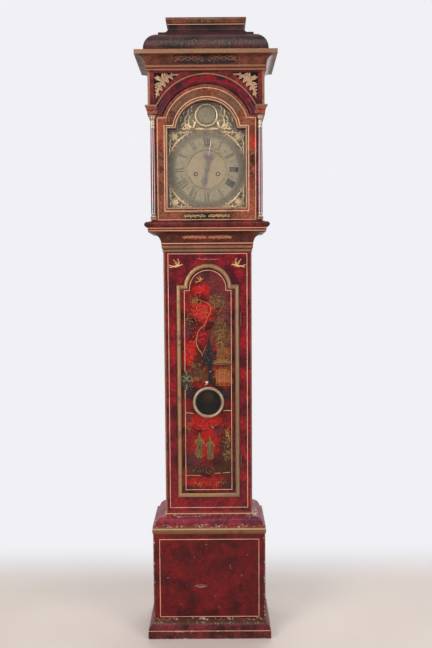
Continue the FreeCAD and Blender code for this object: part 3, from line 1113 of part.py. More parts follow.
pad(minute_hand, [], minute_collar.height, holes=[(0, 0, minute_collar.radius), centre_bore],
    offset=hands.thickness)
leaf_outline = head_points(leaf, [
    (0.17, 0.0), (0.55, 0.11, 0.4, 1), (1.0, 0.36, 0.78, 1), (0.64, 0.57, 0.62, 1), (0.36, 0.53, 0.26, -1),
    (0.2, 0.67, 0.42, 1), (0, 1.0)])
hour_hand = hand("hour_hand", layer.hour_end + hands.thickness, hands.thickness, hour_degrees,
                 [both_sides(leaf_outline)],
                 head_holes(leaf, [(0.46, 0.36, 0.26), (-0.46, 0.36, 0.26), (0, 0.17, 0.16), (0, 0.55, 0.13)]))
pad(hour_hand, [stem(hands.hour_stem, hands.hour_boss - hands.lap, leaf.foot + hands.lap)], hands.thickness)
pad(hour_hand, [], hands.thickness, holes=[(0, 0, hands.hour_boss), (0, 0, cannon.pipe + move.running)])

# Weights hang from pulleys in a loop of line between barrel and seatboard.
weight = sizes("weight", radius=30.0, bottom=560.0, top=752.0, dome=8.0, neck=5.0, cheek=2.0, cheek_half=6.0,
               cheek_gap=0.5, cheek_rise=8.0, bridge=6.0, chamfer=3.0)
cheek_inner = pulley.half_width + weight.cheek_gap
for train, side in (("going", 1), ("strike", -1)):
    x = side * pulley_x
    y = line.depth_y
    case_shape = upright(x, y, weight.bottom, weight.top, weight.radius)
    case_shape = case_shape.makeChamfer(weight.chamfer.value, [edge for edge in case_shape.Edges
                                                              if edge.Length > weight.radius.value * 6
                                                              and edge.isClosed()])
    bridge_low = weight.top + weight.dome
    bridge_high = bridge_low + weight.bridge
    cheeks = [block(x - weight.cheek_half, x + weight.cheek_half, y + turn * (cheek_inner + weight.cheek / 2)
                    - weight.cheek / 2, y + turn * (cheek_inner + weight.cheek / 2) + weight.cheek / 2,
                    bridge_low, pulley.rest_z + weight.cheek_rise) for turn in (-1, 1)]
    bridge = block(x - weight.cheek_half, x + weight.cheek_half, y - cheek_inner - weight.cheek,
                   y + cheek_inner + weight.cheek, bridge_low, bridge_high)
    axle = rod(x, pulley.rest_z, y - cheek_inner - weight.cheek, y + cheek_inner + weight.cheek, pulley.axle)
    loop = Part.makeTorus(pulley.line_radius.value, line.radius.value,
                          FreeCAD.Vector(x.value, y.value, pulley.rest_z.value), FreeCAD.Vector(0, 1, 0))
    loop = loop.cut(block(x - pulley.rim * 2, x + pulley.rim * 2, y - pulley.rim, y + pulley.rim, pulley.rest_z,
                          pulley.rest_z + pulley.rim * 2))
    hanger = join([case_shape, upright(x, y, weight.top - weight.dome, bridge_low + weight.bridge / 2, weight.neck),
                   bridge, axle] + cheeks)
    feature(train + "_weight", Part.makeCompound([hanger, loop]))
    wheel = body(train + "_pulley", x, y, pulley.rest_z, facing_front=True)
    keep(wheel, train + "_pulley")
    foot = pulley.line_radius - line.radius - pulley.floor_gap
    revolve(wheel, [(pulley.bore, -pulley.half_width), (pulley.rim, -pulley.half_width),
                    (pulley.rim, -pulley.groove), (foot, -pulley.groove_foot), (foot, pulley.groove_foot),
                    (pulley.rim, pulley.groove), (pulley.rim, pulley.half_width),
                    (pulley.bore, pulley.half_width)])
    seat_foot = seat.top - seat.thickness
    strands = [upright(side * across, y, pulley.rest_z, seat_foot, line.radius) for across in (line_x, tie_x)]
    feature(train + "_line", Part.makeCompound(strands))

# The lines' fixed ends: up to the barrels, and the knots that hold the other ends on the seatboard.
line_ends = []
for side in (-1, 1):
    line_ends.append(upright(side * line_x, line.depth_y, seat.top - seat.thickness,
                             dial.centre - spot.great_drop, line.radius))
    tie = upright(side * tie_x, line.depth_y, seat.top - seat.thickness, seat.top, line.radius)
    line_ends.append(tie.fuse(upright(side * tie_x, line.depth_y, seat.top, seat.top + line.knot_height,
                                      line.knot)))
feature("line_tops", Part.makeCompound(line_ends))

doc.recompute()
faults = [item.Name for item in doc.Objects if "Invalid" in item.State or "Error" in item.State]
for node in nodes:
    if node.Shape.isNull() or not node.Shape.isValid():
        faults.append(node.Label)
if faults:
    raise RuntimeError("failed: " + ", ".join(faults))
os.makedirs("parts", exist_ok=True)
for node in nodes:
    node.Shape.exportStep("parts/" + node.Label + ".step")
print(len(nodes), "nodes")
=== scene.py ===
# A red japanned longcase clock: its finishes, painted decoration and fine relief on the CAD frame.
# Lengths of pieces are millimetres, as a case maker would write them. Camera, lamps and shaders use metres.
from functools import partial
from math import pi, radians
from types import SimpleNamespace
import bpy
import numpy as np
from mathutils import Matrix, Vector


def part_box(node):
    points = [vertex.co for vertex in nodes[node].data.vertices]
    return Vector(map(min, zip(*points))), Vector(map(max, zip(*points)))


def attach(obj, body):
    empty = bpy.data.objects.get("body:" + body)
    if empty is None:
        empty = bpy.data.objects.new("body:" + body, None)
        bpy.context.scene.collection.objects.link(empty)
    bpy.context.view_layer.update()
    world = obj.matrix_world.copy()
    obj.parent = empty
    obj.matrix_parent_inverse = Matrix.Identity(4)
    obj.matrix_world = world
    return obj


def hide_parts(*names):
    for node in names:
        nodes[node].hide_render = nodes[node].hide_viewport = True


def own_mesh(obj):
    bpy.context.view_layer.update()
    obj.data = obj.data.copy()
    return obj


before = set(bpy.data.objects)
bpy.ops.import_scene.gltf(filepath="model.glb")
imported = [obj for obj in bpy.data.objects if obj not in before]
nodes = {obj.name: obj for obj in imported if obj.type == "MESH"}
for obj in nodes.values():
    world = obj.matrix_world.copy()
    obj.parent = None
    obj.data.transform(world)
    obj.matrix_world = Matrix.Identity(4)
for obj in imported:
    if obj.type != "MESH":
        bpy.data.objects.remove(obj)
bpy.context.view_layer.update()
mm = 0.001
print("frame loaded:", len(nodes), "nodes")


# A screen colour, 0 to 255, as the linear numbers that shaders use.
def colour(red, green, blue):
    share = np.array([red, green, blue]) / 255
    linear = np.where(share <= 0.04045, share / 12.92, ((share + 0.055) / 1.055) ** 2.4)
    return (*linear.tolist(), 1.0)


def addObject(name, data):
    made = bpy.data.objects.new(name, data)
    bpy.context.scene.collection.objects.link(made)
    return made


# A mesh object from an array of points in metres and a list of its faces' corners.
def addMesh(name, points, faces, material, smoothed=True):
    mesh = bpy.data.meshes.new(name)
    mesh.from_pydata(points.reshape(-1, 3).tolist(), [], faces)
    mesh.polygons.foreach_set("use_smooth", np.full(len(mesh.polygons), smoothed))
    mesh.materials.append(material)
    return addObject(name, mesh)


# The quads of a grid of rows and columns, as an array of corners. A closed way joins its last to its first.
def gridFaces(rows, cols, closedRows, closedCols):
    row = np.arange(rows if closedRows else rows - 1)[:, None]
    col = np.arange(cols if closedCols else cols - 1)[None, :]
    after, beside = (row + 1) % rows, (col + 1) % cols
    corners = [row * cols + col, after * cols + col, after * cols + beside, row * cols + beside]
    return np.stack(corners, -1).reshape(-1, 4)


# Camera and lamps

view = {"place": (0.0344, -2.8797, 1.4426), "lens": 39.89, "sensor": 36, "down": 3.949, "turn": 0.047,
        "roll": -0.359}
camera = addObject("camera", bpy.data.cameras.new("camera"))
camera.data.lens = view["lens"]
camera.data.sensor_width = view["sensor"]
camera.matrix_world = (Matrix.Translation(view["place"]) @ Matrix.Rotation(radians(view["turn"]), 4, "Z")
                       @ Matrix.Rotation(radians(90 - view["down"]), 4, "X")
                       @ Matrix.Rotation(radians(view["roll"]), 4, "Z"))
bpy.context.scene.camera = camera
bpy.context.scene.view_settings.view_transform = "Standard"

lamps = {
    "windowLeft": {"place": (-2.3, -2.9, 2.5), "aim": (0, 0, 1.3), "size": (1.6, 2.6), "power": 82},
    "fillRight": {"place": (2.5, -2.4, 1.9), "aim": (0, 0, 1.2), "size": (1.6, 2.6), "power": 50},
    "overhead": {"place": (0.2, -1.2, 3.9), "aim": (0, 0, 1.4), "size": (2.2, 1.2), "power": 26},
    "behind": {"place": (0.5, 2.6, 2.6), "aim": (0, 0, 1.2), "size": (2.4, 2.0), "power": 30},
}
for name, lamp in lamps.items():
    light = bpy.data.lights.new(name, "AREA")
    light.shape = "RECTANGLE"
    light.size, light.size_y = lamp["size"]
    light.energy = lamp["power"]
    hung = addObject(name, light)
    hung.location = lamp["place"]
    hung.rotation_euler = (Vector(lamp["aim"]) - Vector(lamp["place"])).to_track_quat("-Z", "Y").to_euler()


# Shader helpers: each finds its node tree from the sockets that it is given.

# Gives an input its value, by a link where the value comes from a socket.
def feed(socket, value):
    if isinstance(value, bpy.types.NodeSocket):
        socket.id_data.links.new(value, socket)
    else:
        socket.default_value = value


# Sets or links the named inputs of a node.
def fill(node, **given):
    for name, value in given.items():
        feed(node.inputs[name.replace("_", " ")], value)
    return node


def put(tree, kind, **given):
    return fill(tree.nodes.new("ShaderNode" + kind), **given)


def treeOf(*values):
    return next(value.id_data for value in values if isinstance(value, bpy.types.NodeSocket))


def maths(operation, *values):
    node = put(treeOf(*values), "Math")
    node.operation = operation
    for socket, value in zip(node.inputs, values):
        feed(socket, value)
    return node.outputs[0]


def chain(operation, total, *values):
    for value in values:
        total = maths(operation, total, value)
    return total


plus, times, most = (partial(chain, operation) for operation in ("ADD", "MULTIPLY", "MAXIMUM"))
over, under = (partial(maths, operation) for operation in ("GREATER_THAN", "LESS_THAN"))
scaled = partial(maths, "MULTIPLY_ADD")
flipShare = partial(maths, "SUBTRACT", 1.0)


# The long side over two sides at right angles.
def longSide(first, second):
    return maths("SQRT", plus(times(first, first), times(second, second)))


def blendColour(share, first, second, way="MIX"):
    node = put(treeOf(share, first, second), "Mix")
    node.data_type = "RGBA"
    node.blend_type = way
    node.clamp_factor = True
    for number, value in ((0, share), (6, first), (7, second)):
        feed(node.inputs[number], value)
    return node.outputs[2]


def tinted(tone, share):
    return blendColour(1.0, tone, share, "MULTIPLY")


# A smooth rise from 0 at low to 1 at high.
def steps(value, low, high):
    node = put(treeOf(value), "MapRange", Value=value, From_Min=low, From_Max=high, To_Min=0.0, To_Max=1.0)
    node.interpolation_type = "SMOOTHSTEP"
    return node.outputs[0]


# 1 where value lies from low to high, with soft sides.
def between(value, low, high, soft=0.0004):
    return times(steps(value, low - soft, low + soft), flipShare(steps(value, high - soft, high + soft)))


# Cloud noise whose patches are about size metres across, drawn out along z by stretch.
def noise(where, size, detail=3.0, rough=0.55, twist=0.0, shift=(0, 0, 0), stretch=1.0):
    tree = where.id_data
    mapping = put(tree, "Mapping", Vector=where, Location=shift,
                  Scale=(1 / size, 1 / size, 1 / size / stretch))
    return put(tree, "TexNoise", Vector=mapping.outputs[0], Scale=1.0, Detail=detail, Roughness=rough,
               Distortion=twist).outputs["Fac"]


# Shows a cloud from low to high, both lowered as its share grows.
def showing(cloud, share, fall, low, high):
    return steps(cloud, scaled(share, -fall, low), scaled(share, -fall, high))


def newGroup(name, inputs, outputs):
    group = bpy.data.node_groups.new(name, "ShaderNodeTree")
    for way, sockets in (("INPUT", inputs), ("OUTPUT", outputs)):
        for title, kind in sockets.items():
            group.interface.new_socket(title, in_out=way, socket_type="NodeSocket" + kind)
    return group, group.nodes.new("NodeGroupInput").outputs, group.nodes.new("NodeGroupOutput")


def place(tree, group, **given):
    node = tree.nodes.new("ShaderNodeGroup")
    node.node_tree = group
    return fill(node, **given).outputs


# Red japanning over brown: a ground colour with soft dark clouds, soft bright clouds and fine flecks.
# Each share, 0 to 1, lowers the noise level from which its cloud shows.
def tortoiseGroup():
    group, given, result = newGroup(
        "tortoiseLacquer", {"Where": "Vector", "Dark": "Color", "Ground": "Color", "Bright": "Color",
                            "Dark Share": "Float", "Bright Share": "Float"},
        {"Color": "Color", "Roughness": "Float", "Height": "Float"})
    where = given["Where"]
    clouds = noise(where, 0.06, 4.0, 0.6, 0.4)
    lights = noise(where, 0.07, 4.0, 0.58, 0.4, (3.1, 7.7, 1.3))
    flecks = noise(where, 0.010, 3.0, 0.7, 0.3, (9.0, 2.0, 5.0))
    grain = noise(where, 0.0024, 2.0, 0.6)
    tone = blendColour(showing(lights, given["Bright Share"], 0.4, 0.60, 0.87), given["Ground"],
                       given["Bright"])
    tone = blendColour(showing(clouds, given["Dark Share"], 0.4, 0.57, 0.85), tone, given["Dark"])
    tone = blendColour(times(steps(flecks, 0.44, 0.64), 0.7), tone, given["Dark"])
    fill(result, Color=tinted(tone, scaled(grain, 0.7, 0.66)), Roughness=scaled(flecks, 0.3, 0.2),
         Height=plus(times(clouds, 0.5), times(flecks, 0.35)))
    return group


# Old gilding on wood: gold that clouds darken and that has rubbed through to its bole, with a fine grain.
def gildingGroup():
    group, given, result = newGroup(
        "oldGilding", {"Where": "Vector", "Gold": "Color", "Rubbed": "Color", "Wear": "Float"},
        {"Color": "Color", "Metallic": "Float", "Roughness": "Float", "Height": "Float"})
    broad = noise(given["Where"], 0.07, 4.0, 0.6, 0.3)
    middle = noise(given["Where"], 0.014, 4.0, 0.6, 0.6, (1.0, 5.0, 2.0))
    fine = noise(given["Where"], 0.003, 3.0, 0.6, 0.4, (4.0, 1.0, 8.0))
    mixed = plus(times(broad, 0.45), times(middle, 0.35), times(fine, 0.2))
    rubbed = showing(mixed, given["Wear"], 0.36, 0.66, 0.88)
    dimmed = times(scaled(middle, 0.7, 0.62), scaled(steps(broad, 0.32, 0.68), 0.34, 0.82))
    fill(result, Color=blendColour(rubbed, tinted(given["Gold"], dimmed), given["Rubbed"]),
         Metallic=scaled(rubbed, -0.4, 0.5), Roughness=scaled(middle, 0.35, 0.2), Height=mixed)
    return group


# Chipped and rubbed spots: ground shows where a fine noise, helped by a broad one, passes a limit.
def chipGroup():
    group, given, result = newGroup("chippedPaint", {"Where": "Vector", "Amount": "Float"},
                                    {"Chips": "Float"})
    spots = noise(given["Where"], 0.007, 2.0, 0.5, 0.8, (2.0, 6.0, 4.0))
    patches = noise(given["Where"], 0.05, 2.0, 0.5, 0.0, (7.0, 3.0, 1.0))
    both = plus(times(spots, 0.7), times(patches, 0.3))
    fill(result, Chips=showing(both, given["Amount"], 0.25, 0.84, 0.86))
    return group


tortoise, gilding, chipping = tortoiseGroup(), gildingGroup(), chipGroup()


# A new material with its shader and its Object coordinates in metres: the vector, x, y, z and |x|.
def newMaterial(name):
    made = bpy.data.materials.new(name)
    made.use_nodes = True
    where = put(made.node_tree, "TexCoord").outputs["Object"]
    x, y, z = put(made.node_tree, "SeparateXYZ", Vector=where).outputs
    spot = SimpleNamespace(where=where, x=x, y=y, z=z, side=maths("ABSOLUTE", x))
    return made, made.node_tree.nodes["Principled BSDF"], spot


def bump(shader, height, depth, strength):
    node = put(treeOf(height), "Bump", Height=height, Strength=strength, Distance=depth)
    fill(shader, Normal=node.outputs[0])


# One part of the surface's normal, where axis is 0 to 2.
def facing(tree, axis):
    return put(tree, "SeparateXYZ", Vector=put(tree, "NewGeometry").outputs["Normal"]).outputs[axis]


# Puts a mix of two shaders on a tree's output.
def mixShaders(output, share, first, second):
    mix = put(treeOf(share), "MixShader")
    for socket, value in zip(mix.inputs, (share, first.outputs[0], second.outputs[0])):
        feed(socket, value)
    fill(output, Surface=mix.outputs[0])


woods = {"inside": (colour(104, 70, 44), colour(64, 40, 24)),
         "seat": (colour(128, 92, 60), colour(84, 56, 34)),
         "shadow": (colour(50, 34, 24), colour(28, 18, 14))}


# Straight grain up the board: noise drawn out along z.
def woodGrain(where, light, dark):
    grain = noise(where, 0.00625, 5.0, 0.6, 0.6, stretch=160 / 9)
    return blendColour(steps(grain, 0.32, 0.68), light, dark), grain


# The darkest brown, (70, 40, 32), is painted shade for gilt faces turned down or away from the front.
tones = {
    "gesso": (214, 196, 180), "line": (226, 174, 142), "leaf": (178, 134, 102), "lipLeaf": (188, 146, 102),
    "paleLeaf": (194, 154, 120), "oliveLeaf": (150, 112, 76), "greyLeaf": (180, 152, 124),
    "bole": (92, 56, 44), "paintedShade": (70, 40, 32), "crimson": (134, 32, 38), "black": (28, 18, 16),
    "brownRed": (132, 60, 46), "tawny": (152, 88, 72), "ruby": (150, 24, 36),
}
tones = {name: colour(*tone) for name, tone in tones.items()}


# Japanned wood in three tones. gilt, lines, chips and inside are functions of the spot that give masks, and
# tint changes the colour where the decoration needs another. Gilt faces turned downward get painted shade.
def lacquer(name, dark, ground, bright, darkShare=0.5, brightShare=0.4, gilt=None, lines=None, chips=None,
            tint=None, inside=None, wear=0.5, shine=0.1, leaf="leaf"):
    made, shader, spot = newMaterial(name)
    tree = made.node_tree
    base = place(tree, tortoise, Where=spot.where, Dark=colour(*dark), Ground=colour(*ground),
                 Bright=colour(*bright), Dark_Share=darkShare, Bright_Share=brightShare)
    tone, rough, coat = base["Color"], base["Roughness"], shine
    if tint:
        broken = noise(spot.where, 0.007, 4.0, 0.7, 0.4, (5.0, 3.0, 1.0))
        tone = tinted(tint(spot, tone), scaled(steps(broken, 0.3, 0.7), 0.7, 0.58))
    if gilt:
        mask = gilt(spot)
        gold = place(tree, gilding, Where=spot.where, Gold=tones[leaf], Rubbed=tones["bole"], Wear=wear)
        # Painted shade: gilt faces whose normal points down are darkened towards a dark brown.
        below = times(steps(facing(tree, 2), 0.15, -0.75), 0.75)
        tone = blendColour(mask, tone, blendColour(below, gold["Color"], tones["paintedShade"]))
        fill(shader, Metallic=times(mask, gold["Metallic"]))
        rough = plus(times(rough, flipShare(mask)), times(mask, gold["Roughness"]))
    if lines:
        tone = blendColour(lines(spot), tone, tones["line"])
    if chips:
        chipped = times(place(tree, chipping, Where=spot.where, Amount=1.0)["Chips"], chips(spot))
        tone = blendColour(chipped, tone, tones["gesso"])
    if inside:
        mask = inside(spot)
        tone = blendColour(mask, tone, woodGrain(spot.where, *woods["inside"])[0])
        rough = most(rough, times(mask, 0.75))
        coat = times(flipShare(mask), shine)
    fill(shader, Base_Color=tone, Roughness=rough, Coat_Weight=coat, Coat_Roughness=0.12,
         Coat_IOR=1.5 + 0.8 * (shine > 0.5), Specular_IOR_Level=0.14 + 0.3 * shine)
    bump(shader, base["Height"], 0.0006, 0.35)
    return made


# A mask of the heights, in mm, that a bead or fillet fills.
def zBands(*bands, soft=0.4):
    return lambda spot: most(*(between(spot.z, low * mm, high * mm, soft * mm) for low, high in bands))


# Paints the heights from low to high, in mm, in another tone.
def bandTint(low, high, name):
    return lambda spot, tone: blendColour(between(spot.z, low * mm, high * mm), tone, tones[name])


# Inside a board's outer skin: |x| under half and y behind front, in mm.
def innerFaces(half, front, skin=0.6):
    return lambda spot: times(under(spot.side, (half - skin) * mm), over(spot.y, (front + skin) * mm))


# A frame of the given width along the outer edges of a front, uneven where old paint has rubbed.
def edgeBand(half, width, low=None):
    def mask(spot):
        uneven = scaled(noise(spot.where, 0.02, 3.0), 0.006, -0.003)
        side = steps(plus(spot.side, uneven), (half - width - 1.0) * mm, (half - width + 1.5) * mm)
        if not low:
            return side
        return most(side, flipShare(steps(plus(spot.z, uneven), (low - 1.5) * mm, (low + 1) * mm)))
    return mask


# Lays loose-edged patches of other colours: x, z, half width, half height, tone and strength, in mm.
# A patch's nearness falls with the square of the distance, and cloud noise added to it breaks its edge.
def mottle(spot, tone, patches):
    cloud = scaled(noise(spot.where, 0.024, 5.0, 0.66, 0.6, (2.0, 2.0, 9.0)), 2.6, -1.3)
    for x, z, halfWidth, halfHeight, patch, strength in patches:
        across = scaled(spot.x, 1 / (halfWidth * mm), -x / halfWidth)
        up = scaled(spot.z, 1 / (halfHeight * mm), -z / halfHeight)
        near = plus(scaled(plus(times(across, across), times(up, up)), -0.55, 1.0), cloud)
        tone = blendColour(times(steps(near, 0.25, 0.75), strength * 0.9), tone, colour(*patch))
    return tone


# Distance, in the plane of the front, from the middle line's point at the height in mm.
def radiusFrom(spot, height):
    return longSide(maths("SUBTRACT", spot.z, height * mm), spot.x)


finish = {}

# Base and trunk
finish["base_front_panel"] = lacquer(
    "basePanelLacquer", (68, 20, 22), (108, 23, 26), (130, 26, 30), 0.45, 0.5, wear=0.95,
    gilt=edgeBand(222, 5, 72), chips=edgeBand(222, 6, 78))
finish["base_sides"] = lacquer(
    "baseSideLacquer", (56, 16, 16), (106, 22, 22), (132, 24, 25), 0.45, inside=innerFaces(222, -101.2),
    chips=lambda spot: most(between(spot.y, -0.103, -0.096), between(spot.z, 0.060, 0.074)))
finish["skirting"] = lacquer(
    "skirtingLacquer", (60, 28, 30), (122, 48, 50), (142, 48, 54), gilt=zBands((55, 66)), wear=1.0,
    lines=zBands((31, 33)), chips=zBands((28, 32.5), (55, 60), (-9, 3), soft=2.5))
finish["base_moulding"] = lacquer(
    "baseMouldingLacquer", (92, 44, 54), (156, 50, 62), (184, 52, 68), 0.42, 0.5, wear=0.55, leaf="oliveLeaf",
    gilt=zBands((417, 443.4)), lines=zBands((435.5, 440.5), (482.8, 486.5)),
    chips=zBands((443, 454), (475, 481), soft=2), tint=bandTint(443.4, 451.6, "brownRed"))
finish["trunk_front_frame"] = lacquer(
    "trunkFrontLacquer", (78, 28, 36), (132, 34, 41), (164, 36, 42), 0.45, 0.55, wear=0.6,
    gilt=lambda spot: times(edgeBand(173, 6)(spot), scaled(steps(spot.x, 0.0, 0.1), -0.5, 1.0)),
    tint=bandTint(480, 495, "brownRed"))
finish["trunk_sides"] = lacquer(
    "trunkSideLacquer", (54, 18, 22), (112, 22, 27), (144, 26, 30), wear=0.6,
    gilt=lambda spot: under(spot.y, -0.0455), inside=innerFaces(173, -60))
finish["throat_moulding"] = lacquer(
    "throatLacquer", (62, 34, 26), (102, 52, 38), (126, 62, 42), wear=0.45, lines=zBands((1562.8, 1566)),
    gilt=zBands((1532, 1540.4), (1544.6, 1556.4), soft=0.8), tint=bandTint(1557.5, 1563.0, "crimson"))

# Hood
archCentre = 1987.5

# Radii, heights and distances from the middle, in metres, of what is painted on the arch and its two ends.
archPaint = {"giltRing": (0.2075, 0.214), "giltFoot": 2.0845, "giltEnd": (2.0786, 2.0856), "giltSide": 0.1880,
             "endSide": 0.1862, "endTop": 2.0848, "endLine": (2.064, 2.068), "ruby": (0.188, 0.204),
             "rubyFoot": 2.09}


def archGilt(spot):
    ring = times(between(radiusFrom(spot, archCentre), *archPaint["giltRing"]),
                 over(spot.z, archPaint["giltFoot"]))
    return most(ring, times(between(spot.z, *archPaint["giltEnd"]), over(spot.side, archPaint["giltSide"])))


def archTint(spot, tone):
    ends = times(over(spot.side, archPaint["endSide"]), under(spot.z, archPaint["endTop"]))
    line = between(spot.z, *archPaint["endLine"], 0.001)
    tone = blendColour(ends, tone, blendColour(line, tones["tawny"], tones["crimson"]))
    ring = times(between(radiusFrom(spot, archCentre), *archPaint["ruby"], 0.004),
                 over(spot.z, archPaint["rubyFoot"]), flipShare(ends))
    patch = steps(noise(spot.where, 0.03, 3.0, 0.6, 0.3, (1.0, 4.0, 2.0)), 0.47, 0.60)
    return blendColour(times(ring, patch), tone, tones["ruby"])


# Painted shade: the board is black behind the pierced frets, in the corners outside the arch, so that their
# holes look dark. A corner begins where the distance from the middle and the height add up to its foot, and
# ends at its side, top and arch.
fretCorner = {"foot": (2.304, 2.310), "side": 0.1970, "top": 2.2062, "arch": 0.2300}


def fretShade(spot, tone):
    near = times(steps(plus(spot.side, spot.z), *fretCorner["foot"]), under(spot.side, fretCorner["side"]),
                 under(spot.z, fretCorner["top"]), over(radiusFrom(spot, archCentre), fretCorner["arch"]))
    return blendColour(near, tone, tones["black"])


finish["hood_base_frame"] = lacquer(
    "hoodBaseLacquer", (60, 24, 24), (120, 44, 40), (150, 34, 38), 0.5, 0.5,
    lines=zBands((1609, 1612.0), (1620, 1622.4)), tint=bandTint(1612.2, 1619.8, "brownRed"))
finish["arch_moulding"] = lacquer("archLacquer", (58, 28, 38), (108, 38, 48), (136, 34, 46), gilt=archGilt,
                                  tint=archTint)
finish["hood_front_board"] = lacquer(
    "frontBoardLacquer", (84, 36, 38), (140, 52, 54), (160, 54, 56), 0.45, tint=fretShade,
    gilt=lambda spot: times(steps(spot.side, 0.2125, 0.2145), over(spot.z, 2.085)))
finish["hood_sides"] = lacquer("hoodSideLacquer", (70, 22, 26), (112, 28, 32), (136, 30, 34),
                               inside=innerFaces(209, -130))
finish["cornice"] = lacquer(
    "corniceLacquer", (84, 48, 38), (132, 74, 58), (150, 78, 54), tint=bandTint(2219.2, 2224.6, "crimson"),
    gilt=zBands((2210, 2219.2), (2224.6, 2232.6), (2264.6, 2281)))

caddyPatches = [(-205, 2295, 40, 16, (92, 40, 42), 0.6), (150, 2300, 50, 16, (92, 40, 42), 0.6),
                (60, 2345, 60, 12, (84, 46, 42), 0.6), (-110, 2340, 50, 12, (80, 46, 42), 0.5),
                (0, 2300, 60, 14, (92, 50, 42), 0.6)]


def caddyTint(spot, tone):
    stepped = times(between(spot.z, 2.350, 2.372, 0.006), 0.8)
    return mottle(spot, blendColour(stepped, tone, colour(66, 34, 40)), caddyPatches)


finish["caddy_bell"] = lacquer("caddyLacquer", (40, 30, 30), (72, 46, 44), (92, 48, 44), 0.5, 0.45,
                               tint=caddyTint)
finish["caddy_block"] = lacquer("caddyBlockLacquer", (70, 44, 36), (112, 62, 50), (140, 60, 52), wear=0.8,
                                gilt=zBands((2424.4, 2430)), lines=zBands((2407.5, 2410.0)))
finish["hood_mask"] = lacquer("maskLacquer", (40, 22, 18), (66, 34, 26), (84, 44, 30))
finish["door_columns"] = lacquer(
    "columnLacquer", (66, 20, 26), (124, 26, 36), (150, 26, 38), wear=0.35, shine=0.9, leaf="paleLeaf",
    gilt=zBands((1653, 1659), (1662, 1668), (1671, 1678), (1998, 2007), (2010.5, 2027), (2030.5, 2048)))

hoodDoorPatches = [(-174, 1932, 11, 28, (112, 44, 36), 0.7), (178, 1936, 11, 30, (178, 34, 30), 0.9),
                   (180, 1878, 12, 22, (66, 30, 24), 0.9), (-173, 1845, 11, 18, (70, 32, 26), 0.8),
                   (-176, 1770, 11, 40, (90, 46, 32), 0.6), (176, 1790, 12, 40, (120, 40, 34), 0.6),
                   (-174, 1990, 14, 30, (160, 74, 46), 0.6), (178, 1990, 12, 24, (128, 48, 36), 0.6),
                   (-60, 1668, 110, 12, (150, 84, 52), 0.4), (0, 2131, 50, 10, (120, 60, 40), 0.5)]


def hoodDoorTint(spot, tone):
    speck = steps(noise(spot.where, 0.004, 2.0, 0.6), 0.46, 0.60)
    return mottle(spot, blendColour(times(speck, 0.45), tone, colour(166, 116, 80)), hoodDoorPatches)


finish["hood_door_frame"] = lacquer("hoodDoorLacquer", (78, 42, 34), (146, 78, 60), (168, 80, 60),
                                    tint=hoodDoorTint)

doorTones = {"scarlet": (180, 34, 26), "crimson": (134, 34, 34), "plum": (94, 50, 54), "olive": (100, 76, 48),
             "ochre": (156, 88, 46), "night": (46, 36, 40), "umber": (72, 44, 32), "mauve": (112, 56, 60)}
doorPatches = [(0, 1430, 64, 40, "plum", 0.6), (44, 1370, 50, 70, "mauve", 0.6),
               (-66, 1340, 24, 30, "crimson", 0.6), (-25, 1384, 32, 22, "scarlet", 1.0),
               (-22, 1296, 44, 44, "scarlet", 1.0), (-78, 1224, 20, 26, "plum", 0.9),
               (40, 1335, 34, 30, "olive", 0.6), (60, 1270, 34, 50, "mauve", 0.6),
               (-72, 1140, 26, 56, "scarlet", 0.9), (50, 1200, 44, 60, "olive", 0.7),
               (60, 1130, 34, 30, "ochre", 0.7), (-30, 1090, 34, 60, "umber", 0.7),
               (-24, 1190, 24, 40, "crimson", 0.8), (60, 1040, 40, 40, "ochre", 0.8),
               (62, 1092, 46, 14, "umber", 0.95), (-40, 1040, 44, 24, "olive", 0.6),
               (0, 966, 140, 26, "night", 0.95), (-20, 926, 130, 18, "crimson", 0.6),
               (-20, 860, 80, 30, "scarlet", 0.8), (-10, 770, 62, 60, "scarlet", 0.85),
               (-76, 800, 22, 40, "crimson", 0.9), (-60, 700, 30, 40, "plum", 0.7),
               (40, 820, 20, 20, "plum", 0.6), (-80, 870, 16, 30, "plum", 0.7),
               (74, 740, 30, 84, "umber", 0.95), (-40, 668, 76, 18, "umber", 0.85),
               (40, 664, 66, 20, "umber", 0.9), (-20, 612, 80, 20, "scarlet", 0.7),
               (70, 606, 30, 20, "umber", 0.7)]
doorPatches = [(*patch[:4], doorTones[patch[4]], patch[5]) for patch in doorPatches]
finish["trunk_door_panel"] = lacquer(
    "trunkDoorLacquer", (54, 24, 26), (128, 34, 34), (160, 38, 34), 0.5, 0.45,
    tint=partial(mottle, patches=doorPatches), inside=lambda spot: over(spot.y, -0.050))
print("case finishes made")


# Metals, glass and wood

# Gilded wood, with painted shade on the sides of a moulding or leaf that face away from the front.
# Where fade is given, the piece's right side is greyed as painted shade too.
def gildedWood(name, gold, wear, dirtAndPaintedShade, fade=None):
    made, shader, spot = newMaterial(name)
    leaf = place(made.node_tree, gilding, Where=spot.where, Gold=tones[gold], Rubbed=tones["bole"], Wear=wear)
    ahead = maths("ABSOLUTE", facing(made.node_tree, 1))
    tone = blendColour(times(flipShare(steps(ahead, 0.3, 0.98)), dirtAndPaintedShade), leaf["Color"], tones["paintedShade"])
    if fade:
        tone = blendColour(times(steps(spot.x, 0.02, 0.11), 0.55), tone, colour(*fade))
    fill(shader, Base_Color=tone, Metallic=leaf["Metallic"], Roughness=leaf["Roughness"])
    bump(shader, leaf["Height"], 0.0008, 0.6)
    return made


